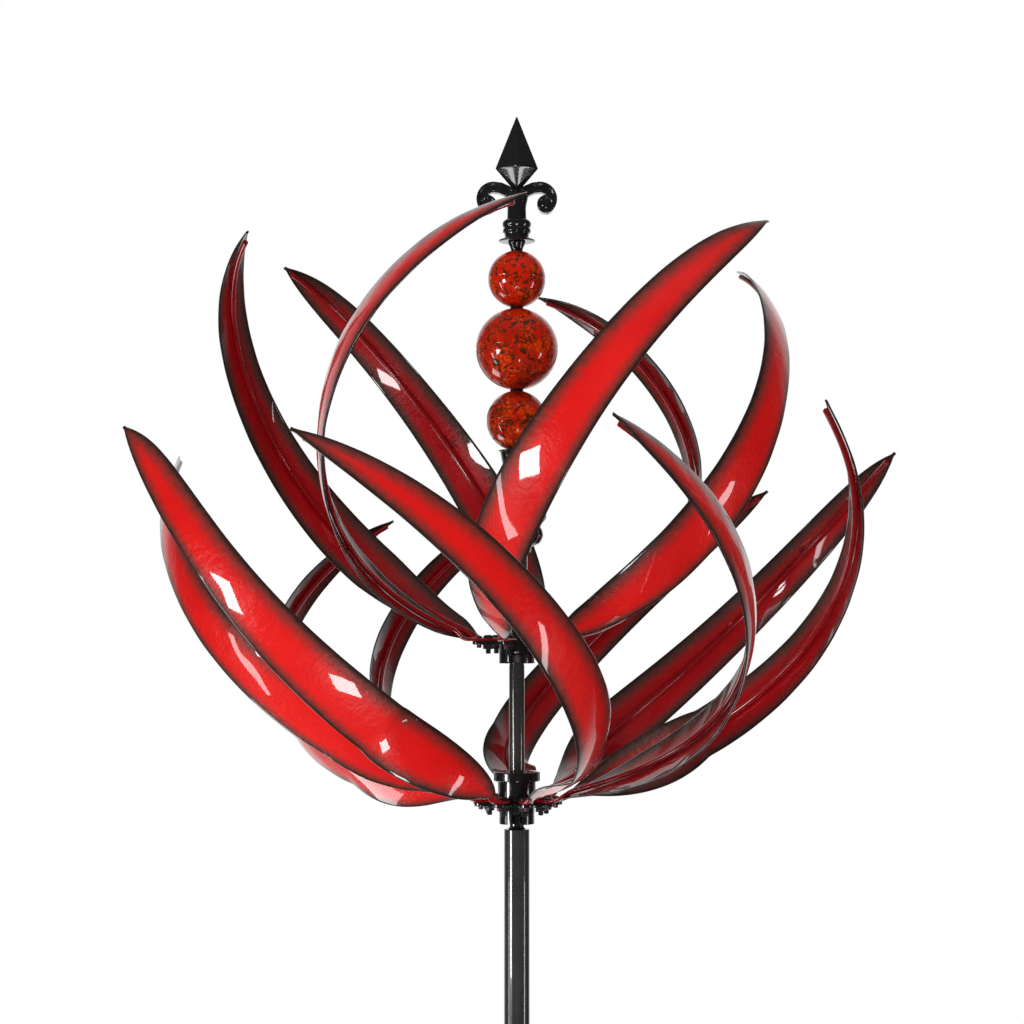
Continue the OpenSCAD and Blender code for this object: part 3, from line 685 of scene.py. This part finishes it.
def blade_mesh(name, family, number, azimuth, height):
    """The sheet: outer face, rounded edge, inner face, rounded edge, at every station."""
    start = family["sheet_start"]
    s = start + (1 - start) * np.linspace(0, 1, stations) ** 1.05
    centre, width_way, out_way, width, _ = blade_line(family, number, s)
    taper = np.clip((s - start) / family["root_taper"], 0, 1)
    width = width * (0.14 + 0.86 * (1 - (1 - taper) ** 2) ** 0.8)
    u = np.linspace(-1, 1, lanes + 1)
    loop = [(v, 0.0) for v in u]
    loop += [(1 + edge_swell * math.sin(a), 0.5 - 0.5 * math.cos(a)) for a in edge_turns]
    loop += [(v, 1.0) for v in u[::-1]]
    loop += [(-1 - edge_swell * math.sin(a), 0.5 + 0.5 * math.cos(a)) for a in edge_turns]
    phases = np.random.default_rng(100 * number + int(family["tip"])).uniform(0, 2 * math.pi, 4)
    length = np.concatenate([[0], np.cumsum(np.linalg.norm(np.diff(centre, axis=0), axis=1))])
    points, leaf, rim, inside = [], [], [], []
    for i in range(stations):
        for v, depth in loop:
            x = v * width[i] / 2
            ripple = (0.20 * math.sin(length[i] / 8.5 + x / 5 + phases[0])
                      + 0.14 * math.sin(length[i] / 5.2 - x / 3.4 + phases[1])
                      + 0.34 * math.sin(length[i] / 19 + x / 11 + phases[2])
                      + 0.40 * math.sin(length[i] / 37 - x / 17 + phases[3]))
            ripple *= min(1.0, width[i] / 20)
            bow = family["camber"] * width[i] * v * v
            points.append(centre[i] + width_way[i] * x - out_way[i] * (bow + depth * sheet_t + 0.35 * ripple))
            leaf.append((x, length[i], 60.0 * number))
            fade = upper_fade if v * width_way[i][2] > 0 else lower_fade
            rim.append(min((1 - min(1, abs(v))) * width[i] / 2 * fade, (length[-1] - length[i]) * tip_fade))
            inside.append(depth)
    count = len(loop)
    faces = [tuple(range(count - 1, -1, -1)), tuple(range((stations - 1) * count, stations * count))]
    for i in range(stations - 1):
        for j in range(count):
            k = (j + 1) % count
            faces.append((i * count + j, i * count + k, (i + 1) * count + k, (i + 1) * count + j))
    placed = on_arm(family, azimuth, height, np.array(points), family["bends"][number][1])
    mesh = bpy.data.meshes.new(name)
    mesh.from_pydata([tuple(p) for p in placed], [], faces)
    for label, values in (("rim", rim), ("inside", inside)):
        mesh.attributes.new(label, "FLOAT", "POINT").data.foreach_set("value", np.array(values, np.float32))
    spread = mesh.attributes.new("leaf", "FLOAT_VECTOR", "POINT")
    spread.data.foreach_set("vector", np.array(leaf, np.float32).ravel())
    tidy = bmesh.new()
    tidy.from_mesh(mesh)
    bmesh.ops.recalc_face_normals(tidy, faces=tidy.faces)
    tidy.to_mesh(mesh)
    tidy.free()
    mesh.shade_smooth()
    blade = bpy.data.objects.new(name, mesh)
    bpy.context.scene.collection.objects.link(blade)
    return blade


red = Paint("blade_enamel")
rim = red.add("ShaderNodeAttribute", {"attribute_name": "rim"}, {}, "Fac")
inside = red.add("ShaderNodeAttribute", {"attribute_name": "inside"}, {}, "Fac")
leaf = red.add("ShaderNodeAttribute", {"attribute_name": "leaf"}, {}, "Vector")
strokes = red.add("ShaderNodeVectorMath", {"operation": "MULTIPLY"}, {0: leaf, 1: (0.07, 0.34, 1)})
feather = red.noise(1.0, 4, 0.65, strokes, 0.5)
mist = red.noise(150, 5, 0.7)
cloud = red.noise(16, 3, 0.5)
beaten = red.add("ShaderNodeVectorMath", {"operation": "MULTIPLY"}, {0: leaf, 1: (0.10, 0.16, 1)})
hammer = red.noise(1.0, 2, 0.5, beaten)
grit = red.noise(420, 3, 0.6)
face_red = red.blend(cloud, (0.56, 0.004, 0.006), (0.80, 0.014, 0.010))
# The inner face gets a darker copy of the face red: painted shade on the side of each blade that faces in, on
# the same enamel.
painted_shade_red = red.blend(cloud, (0.24, 0.003, 0.005), (0.40, 0.005, 0.008))
body_red = red.blend(inside, face_red, painted_shade_red)
wide_band = 1 - red.step(rim + mist * -6.0 + feather * -3.0, -3.4, 7.5)
core = 1 - red.step(rim + mist * -3.0, -1.4, 2.0)
ticks = (1 - red.step(rim + feather * -9.0, -1.4, 2.2)) * inside
flecks = red.step(red.noise(46, 6, 0.75), 0.60, 0.68) * inside
body_red = red.blend(flecks * 0.75, body_red, (0.045, 0.006, 0.006))
body_red = red.blend(ticks * 0.8, body_red, (0.050, 0.008, 0.007))
body_red = red.blend(wide_band * 0.90, body_red, (0.062, 0.030, 0.024))
blade_enamel = red.finish(
    Base_Color=red.blend(core * 0.95, body_red, (0.016, 0.009, 0.007)),
    Roughness=0.30 + 0.10 * core,
    Specular_IOR_Level=0.15,
    Coat_Weight=1.0,
    Coat_Roughness=0.04,
    Normal=red.bump(hammer + 0.5 * mist + 0.5 * grit, 0.0011, 0.5),
)

for rotor in ("lower", "upper"):
    family = families[rotor]
    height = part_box(rotor + "_hub_plate")[1].z
    for number, azimuth in enumerate(arm_azimuths(rotor)):
        name = f"{rotor}_blade_{number + 1}"
        blade = blade_mesh(name + "_sheet", family, number, azimuth, height)
        fit(blade, blade_enamel, rotor + "_rotor", "blade_red", name)

# ---------------------------------------------------------------------------------------------------
# Stems. A 4 mm rod is welded along the inner face of every blade. Its root end is hammered flat into
# a foot that lies on the plate's arm, and its round end stops just short of the blade's tip.
# ---------------------------------------------------------------------------------------------------
stem_r = 2.0
weld_gap = 0.3
foot_half_w = 4.25
foot_t = 2.5
stem_sides = 16
stem_end = 0.975
round_end = 0.8


def stem_mesh(family, number, azimuth, height):
    """Rings of a flat foot along the arm, then of a rod along the blade's inner face."""
    tilt = family["bends"][number][1]
    s = np.linspace(family["sheet_start"] + 0.02, stem_end, 110)
    centre, width_way, out_way, _, tangent = blade_line(family, number, s)
    line = centre - out_way * (sheet_t + weld_gap + stem_r)
    end = line[-1] + tangent[-1] * round_end
    turn = math.radians(tilt)
    c, d = math.cos(turn), math.sin(turn)
    tip_over = np.array([[c, 0, d], [0, 1, 0], [-d, 0, c]])
    pivot = np.array([family["root"], 0, 0])
    rod = [(p, d * family["side"], -o, stem_r) for p, d, o in zip(line, width_way, out_way)]
    rod += [(end * (1 - k) + line[-1] * k, rod[-1][1], rod[-1][2], stem_r * q)
            for k, q in ((0.35, 0.98), (0.15, 0.8), (0.04, 0.5), (0.0, 0.2))]
    rod = [((p - pivot) @ tip_over + pivot, d @ tip_over, o @ tip_over, r) for p, d, o, r in rod]
    foot_start = family["foot_start"]
    foot_end = family["root"] + 2.0
    foot_x = np.concatenate([foot_start + np.array([0, 0.3, 1.0, 2.2, 3.8]),
                             np.linspace(foot_start + 6, foot_end, 8)])
    foot_w = foot_half_w * np.sqrt(np.clip((foot_x - foot_start + 0.25) / 4.0, 0.05, 1))
    level, upright = np.array([0.0, 1.0, 0.0]), np.array([0.0, 0.0, 1.0])
    rings = [(np.array([x, 0, foot_t / 2]), level, upright, w, foot_t / 2, 0.45)
             for x, w in zip(foot_x, foot_w)]
    first, (near, near_side, near_up, _) = rings[-1][0], rod[0]
    gap = np.linalg.norm(near - first)
    leave = np.array([1.0, 0, 0]) * gap
    arrive = unit((rod[1][0] - near)[None])[0] * gap
    for k in (0.2, 0.4, 0.6, 0.8):
        place = ((2 * k ** 3 - 3 * k ** 2 + 1) * first + (k ** 3 - 2 * k ** 2 + k) * leave
                 + (3 * k ** 2 - 2 * k ** 3) * near + (k ** 3 - k ** 2) * arrive)
        way = unit(np.array([level * (1 - k) + near_side * k, upright * (1 - k) + near_up * k]))
        rings.append((place, way[0], way[1], foot_half_w * (1 - k) + stem_r * k,
                      foot_t / 2 * (1 - k) + stem_r * k, 0.45 * (1 - k) + k))
    rings += [(p, d, o, r, r, 1.0) for p, d, o, r in rod]
    points = []
    for place, side, up, wide, thick, power in rings:
        for k in range(stem_sides):
            t = 2 * math.pi * (k + 0.5) / stem_sides
            c, d = math.cos(t), math.sin(t)
            points.append(place + side * wide * math.copysign(abs(c) ** power, c)
                          + up * thick * math.copysign(abs(d) ** power, d))
    count = len(rings)
    faces = [tuple(range(stem_sides)), tuple(range((count - 1) * stem_sides, count * stem_sides))]
    for i in range(count - 1):
        here, there = i * stem_sides, (i + 1) * stem_sides
        for k in range(stem_sides):
            q = (k + 1) % stem_sides
            faces.append((here + k, here + q, there + q, there + k))
    return mesh_piece("stem", on_arm(family, azimuth, height, np.array(points)), faces, 50)


stem_paint = Paint("stem_enamel_painted_shade")
stem_cloud = stem_paint.noise(60, 4, 0.6)
# The stems are painted a darker red than the blades' faces: painted shade for rods that lie on the shaded
# inner side of the blades.
stem_enamel_painted_shade = stem_paint.finish(
    Base_Color=stem_paint.blend(stem_cloud, (0.12, 0.002, 0.004), (0.30, 0.005, 0.007)),
    Roughness=0.2 + 0.1 * stem_cloud,
    Specular_IOR_Level=0.2,
    Coat_Weight=1.0,
    Coat_Roughness=0.04,
    Normal=stem_paint.bump(stem_paint.noise(500, 2), 0.0001, 0.4),
)
for rotor in ("lower", "upper"):
    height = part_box(rotor + "_hub_plate")[1].z
    stems = [stem_mesh(families[rotor], number, azimuth, height)
             for number, azimuth in enumerate(arm_azimuths(rotor))]
    fit(joined(rotor + "_stems", stems), stem_enamel_painted_shade, rotor + "_rotor", "stem_red", rotor + "_blade_stems")

# ---------------------------------------------------------------------------------------------------
# Blade fixings. Every foot is held on its arm by an M4 button-head bolt with a flanged nut under the
# plate, and kept from turning by a red-painted rivet farther out.
# ---------------------------------------------------------------------------------------------------
bolt_r = 22.0
pin_r = 29.0
plate_t = 2.5
nut_hole = 2.05
thread_turns = 12


def moved(piece, azimuth, radius, height):
    """Shifts a piece made on the axis out onto an arm."""
    piece.location = (radius * mm * math.cos(azimuth), radius * mm * math.sin(azimuth), height)
    piece.rotation_euler.z = azimuth
    return piece


def bolt():
    """Button head above the foot and a threaded shank with a chamfered end below the nut."""
    shank = [(0.05, -9.3, 0), (1.5, -9.3, 0.2)]
    for i in range(thread_turns):
        shank += [(2.0, -8.9 + i * 0.5, 0.08), (1.75, -8.65 + i * 0.5, 0.08)]
    shank += [(2.0, -plate_t, 0), (2.0, foot_t, 0), (3.8, foot_t, 0.15), (3.7, foot_t + 1.2, 0.8),
              (2.4, foot_t + 2.2, 0.6), (1.3, foot_t + 2.2, 0.1), (1.3, foot_t + 1.0, 0),
              (0.05, foot_t + 1.0, 0)]
    return turned("bolt", shank, 0.0, 32)


def flange_nut():
    """A hexagon nut on a thin round flange, under the plate."""
    corners = [(4.0 * math.cos(math.radians(60 * i)), 4.0 * math.sin(math.radians(60 * i))) for i in range(7)]
    outline = [tuple(np.array(a) * (1 - k / 6) + np.array(b) * k / 6)
               for a, b in zip(corners, corners[1:]) for k in range(6)]
    nut = plate("nut", outline, nut_hole, (-plate_t - 3.4) * mm, (-plate_t - 0.8) * mm, 0.3)
    flange = turned("flange", [
        (nut_hole, -plate_t - 1.1, 0), (3.5, -plate_t - 1.3, 0.3), (4.4, -plate_t - 0.6, 0.2),
        (4.4, -plate_t, 0.2), (nut_hole, -plate_t, 0)], 0.0, 48)
    return joined("nut", [nut, flange])


def rivet():
    """A round pin with a domed head above the foot and a swelled end below the plate."""
    return turned("rivet", [
        (0.05, -plate_t - 2.5, 0), (1.4, -plate_t - 2.5, 0.5), (1.8, -plate_t - 2.0, 0.4), (1.8, foot_t, 0),
        (2.5, foot_t + 0.05, 0.3), (2.4, foot_t + 0.9, 0.6), (1.4, foot_t + 1.5, 0.5),
        (0.05, foot_t + 1.6, 0)],
        0.0, 32)


zinc = Paint("blackened_fixing")
zinc_wear = zinc.noise(700, 4, 0.6)
blackened_zinc = zinc.finish(
    Base_Color=zinc.blend(zinc_wear, (0.010, 0.010, 0.011), (0.05, 0.05, 0.052)),
    Metallic=0.6,
    Roughness=0.28 + 0.2 * zinc_wear,
    Coat_Weight=0.4,
    Normal=zinc.bump(zinc_wear, 0.00003, 0.5),
)
rivet_paint = Paint("rivet_enamel_painted_shade")
# The rivets' red is darkened towards black: painted shade for pins that sit under and beside the plate.
rivet_enamel_painted_shade = rivet_paint.finish(
    Base_Color=rivet_paint.blend(rivet_paint.noise(300, 3), (0.03, 0.002, 0.003), (0.13, 0.003, 0.004)),
    Roughness=0.4,
    Coat_Weight=0.5,
)
for rotor in ("lower", "upper"):
    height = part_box(rotor + "_hub_plate")[1].z
    for kind, make, circle_r, material, slot, node in (
        ("_bolts", bolt, bolt_r, blackened_zinc, "gloss_black", "_blade_bolts"),
        ("_nuts", flange_nut, bolt_r, blackened_zinc, "gloss_black", "_blade_nuts"),
        ("_rivets", rivet, pin_r, rivet_enamel_painted_shade, "stem_red", "_blade_pins"),
    ):
        group = joined(rotor + kind, [moved(make(), a, circle_r, height) for a in arm_azimuths(rotor)])
        fit(group, material, rotor + "_rotor", slot, rotor + node)
        group.data.shade_smooth()
        group.data.set_sharp_from_angle(angle=math.radians(35))

# ---------------------------------------------------------------------------------------------------
# Turned ornament and saucer. A cast iron baluster with a leafed bulb at its foot stands on the riser
# tube, and a thin dished washer on top of it carries the lowest ball.
# ---------------------------------------------------------------------------------------------------
H, R, ornament_foot = size_of("turned_ornament")
ornament = turned("turned_ornament", [
    (rod_hole, 0, 0), (riser_r + 2, 0, 0.3), (riser_r + 3, 2, 1.2), (riser_r + 2.5, 4, 1.0),
    (R * 0.78, H * 0.09, 2), (R * 0.91, H * 0.165, 3.5), (R * 0.86, H * 0.23, 2), (R * 0.79, H * 0.26, 1),
    (R * 0.85, H * 0.29, 1.2), (R, H * 0.34, 2), (R, H * 0.45, 3), (R * 0.85, H * 0.5, 1.5),
    (R * 0.58, H * 0.6, 5), (R * 0.44, H * 0.72, 5),
    (R * 0.42, H * 0.82, 4), (R * 0.5, H * 0.92, 2), (R * 0.55, H, 0.4), (rod_hole, H, 0),
], ornament_foot, 144)
leaves = 12
leaf_top, leaf_bottom = H * 0.25, H * 0.03
groove_share = 0.07
for vertex in ornament.data.vertices:
    x, y, z = vertex.co
    rise = (z - ornament_foot) / mm
    if leaf_bottom < rise < leaf_top and math.hypot(x, y) / mm > riser_r + 0.5:
        swell = math.sin(math.pi * (rise - leaf_bottom) / (leaf_top - leaf_bottom))
        ridge = abs(math.sin(math.atan2(y, x) * leaves / 2))
        scale = 1 - groove_share * swell * (1 - ridge) ** 2
        vertex.co.x, vertex.co.y = x * scale, y * scale
cast = Paint("cast_enamel")
cast_grain = cast.noise(260, 5, 0.6)
cast_enamel = cast.finish(
    Base_Color=cast.blend(cast_grain, (0.004, 0.004, 0.005), (0.014, 0.014, 0.015)),
    Roughness=0.16 + 0.14 * cast_grain,
    Coat_Weight=1.0,
    Coat_Roughness=0.05,
    Normal=cast.bump(cast_grain, 0.00022, 0.55),
)
fit(ornament, cast_enamel, "stand", "gloss_black", "turned_ornament")

_, saucer_r, saucer_foot = size_of("ball_saucer")
saucer = turned("ball_saucer", [
    (rod_hole, 0, 0), (saucer_r * 0.86, 0, 0.4), (saucer_r, 1.7, 0.2), (saucer_r - 0.3, 2.0, 0.2),
    (saucer_r * 0.7, 1.55, 0.6), (rod_hole, 0.45, 0),
], saucer_foot)
fit(saucer, black_enamel, "stand", "gloss_black", "ball_saucer")

# ---------------------------------------------------------------------------------------------------
# Balls. Three hollow spun balls threaded on the rod, each of two halves with a fine seam round the
# middle, lacquered orange-red over dark flecks and finished with a thick clear coat.
# ---------------------------------------------------------------------------------------------------
ball_wall = 1.2
seam_depth = 0.35


def ball(name):
    """A bored hollow sphere with a shallow seam at its middle."""
    low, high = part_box(name)
    middle = (low.z + high.z) / 2
    radius = max(high.x, high.y) / mm
    outline = []
    for outer, r in ((True, radius), (False, radius - ball_wall)):
        tilt = math.acos(rod_hole / r)
        angles = np.linspace(-tilt, tilt, 91)
        for a in angles if outer else angles[::-1]:
            seam = seam_depth * math.exp(-((a * r / 0.5) ** 2)) if outer else 0
            outline.append(((r - seam) * math.cos(a), (r - seam) * math.sin(a), 0))
    return turned(name, outline, middle, 160)


lacquer = Paint("speckled_lacquer")
patch = lacquer.noise(75, 5, 0.62, distortion=0.8)
fleck = lacquer.noise(190, 5, 0.62, distortion=1.2)
cells = lacquer.add("ShaderNodeTexVoronoi", {"feature": "DISTANCE_TO_EDGE"},
                    {"Vector": lacquer.place(), "Scale": 210.0})
vein = (1 - lacquer.step(cells, 0.03, 0.12)) * lacquer.step(patch, 0.44, 0.52)
dark = lacquer.step(fleck, 0.525, 0.56)
glow = lacquer.step(patch, 0.45, 0.62)
deep = lacquer.step(lacquer.noise(48, 4, 0.6, distortion=0.4), 0.46, 0.60)
base = lacquer.blend(glow, (0.60, 0.012, 0.001), (0.90, 0.050, 0.001))
base = lacquer.blend(deep * 0.55, base, (0.34, 0.007, 0.002))
base = lacquer.blend(vein * 0.7, base, (0.10, 0.022, 0.004))
base = lacquer.blend(dark * 0.92, base, (0.030, 0.018, 0.004))
speckled_lacquer = lacquer.finish(
    Base_Color=base,
    Roughness=0.30 + 0.15 * dark,
    Specular_IOR_Level=0.1,
    Coat_Weight=1.0,
    Coat_Roughness=0.015,
    Normal=lacquer.bump(fleck, 0.00012, 0.25),
)
for name in ("low_ball", "mid_ball", "top_ball"):
    fit(ball(name), speckled_lacquer, "stand", "ball_orange", name)
repaint(black_enamel, "ball_spacers")

# ---------------------------------------------------------------------------------------------------
# Finial. A small turned cup and a flared collar stand on the top ball. The spear head above is cast
# in one piece with its two scrolls, and screws down on the rod.
# ---------------------------------------------------------------------------------------------------
neck_h, neck_flange_r, neck_foot = size_of("finial_neck")
cup = turned("finial_neck", [
    (rod_hole, 0.6, 0), (4.5, 0.2, 0.3), (4.6, 1.6, 0.5), (5.3, 3.4, 1),
    (neck_flange_r - 1.2, neck_h - 1.6, 1),
    (neck_flange_r - 0.8, neck_h - 0.5, 0.4), (neck_flange_r - 1.6, neck_h, 0.2), (rod_hole, neck_h, 0),
], neck_foot)
fit(cup, cast_enamel, "stand", "gloss_black", "finial_neck")

collar_h, _, collar_foot = size_of("finial_collar")
collar = turned("finial_collar", [
    (rod_hole, 0, 0), (12.4, 0, 0.2), (13.9, 0.5, 0.3), (13.8, 1.2, 0.4), (9.6, 2.3, 1.0), (9.1, 4.4, 1.0),
    (9.4, 6.4, 0.6), (10.6, 7.0, 0.6), (10.8, 8.8, 0.8), (10.1, 10.4, 0.4), (10.2, 11.0, 0.4),
    (11.0, 12.4, 1.0),
    (11.0, 14.6, 1.0), (9.8, 16.2, 0.8), (8.0, collar_h, 0), (rod_hole, collar_h, 0),
], collar_foot)
fit(collar, cast_enamel, "stand", "gloss_black", "finial_collar")

spear_low, spear_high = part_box("finial_spear")
spear_h = (spear_high.z - spear_low.z) / mm
spear_foot = spear_low.z
head_r, head_depth = 16.3, 12.0
widest, neck_in = spear_h * 0.497, 20.5
facet_sides = 64


def spear_head():
    """Four flat facets to the point and four that draw in below, with softened ridges."""
    profile = [(neck_in, 0.9), (neck_in + 1.5, 1.9), (widest - 1.2, head_r - 0.7), (widest, head_r),
               (widest + 1.2, head_r - 0.55), (spear_h - 1.2, 0.8), (spear_h - 0.3, 0.4)]
    points = []
    for z, half in profile:
        for k in range(facet_sides):
            t = 2 * math.pi * k / facet_sides
            c, d = math.cos(t), math.sin(t)
            spread = (abs(c) ** 1.08 + abs(d) ** 1.08) ** (-1 / 1.08)
            depth = half * head_depth / head_r
            points.append((half * spread * c * mm, depth * spread * d * mm, spear_foot + z * mm))
    faces = [tuple(range(facet_sides)), tuple(range(len(points) - facet_sides, len(points)))]
    for i in range(len(profile) - 1):
        for k in range(facet_sides):
            q = (k + 1) % facet_sides
            here, there = i * facet_sides, (i + 1) * facet_sides
            faces.append((here + k, here + q, there + q, there + k))
    return mesh_piece("spear_head", points, faces)


scroll_centre = np.array((17.5, 15.6))
scroll_r = 9.0
band_half = 4.1
boss_centre = np.array((22.2, 11.5))
boss_r = 6.9


def scroll(side):
    """A flat band with raised rims that arches out of the stem and curls under."""
    path = [(0.4, 16.6), (4.0, 19.4), (8.0, 22.0), (12.5, 24.0)]
    path += [tuple(scroll_centre + scroll_r * np.array((math.cos(a), math.sin(a))))
             for a in map(math.radians, range(90, -46, -9))]
    path = np.array(path)
    tangent = unit(np.gradient(path, axis=0))
    section = [(-band_half, -3.6), (-3.2, -4.5), (-2.3, -4.5), (-1.6, -3.4), (1.6, -3.4), (2.3, -4.5),
               (3.2, -4.5), (band_half, -3.6), (band_half, 3.6), (3.2, 4.5), (2.3, 4.5), (1.6, 3.4),
               (-1.6, 3.4), (-2.3, 4.5), (-3.2, 4.5), (-band_half, 3.6)]
    points = []
    for (x, z), (dx, dz) in zip(path, tangent):
        for n, y in section:
            points.append((side * (x - dz * n) * mm, y * mm, spear_foot + (z + dx * n) * mm))
    count = len(section)
    faces = [tuple(range(count)), tuple(range(len(points) - count, len(points)))]
    for i in range(len(path) - 1):
        for k in range(count):
            q = (k + 1) % count
            faces.append((i * count + k, i * count + q, (i + 1) * count + q, (i + 1) * count + k))
    return mesh_piece("scroll", points, faces)


def boss(side):
    """The scroll's round end: a disc with a raised rim and a domed middle on both faces."""
    outline = []
    for face in (1, -1):
        rows = [(0.05, 4.9), (2.6, 4.6), (3.7, 3.9), (4.4, 3.9), (5.0, 4.9), (6.2, 4.9), (boss_r, 4.0)]
        outline += [(r, face * h, 0) for r, h in (rows if face == 1 else rows[::-1])]
    piece = turned("boss", outline, 0.0, 48)
    piece.rotation_euler.x = math.radians(90)
    piece.location = (side * boss_centre[0] * mm, 0, spear_foot + boss_centre[1] * mm)
    return piece


def cast_in_one(name, pieces, grain):
    """Melts closed pieces into one casting with small fillets where they meet."""
    casting = joined(name, pieces)
    melt = casting.modifiers.new("melt", "REMESH")
    melt.mode = "VOXEL"
    melt.voxel_size = grain * mm
    fettle = casting.modifiers.new("fettle", "SMOOTH")
    fettle.factor = 0.5
    fettle.iterations = 3
    settle(casting)
    return casting


stem = turned("stem", [
    (rod_hole, 0, 0), (8.0, 0, 0.4), (7.4, 1.2, 0.8), (7.1, 10, 3), (8.8, 17, 2), (8.6, 19.5, 2),
    (4.5, 22, 1), (0.05, 22.5, 0),
    (0.05, 8, 0), (rod_hole, 8, 0),
], spear_foot)
parts = [stem, spear_head()] + [make(side) for side in (-1, 1) for make in (scroll, boss)]
fit(cast_in_one("finial_spear", parts, 0.4), cast_enamel, "stand", "gloss_black", "finial_spear")
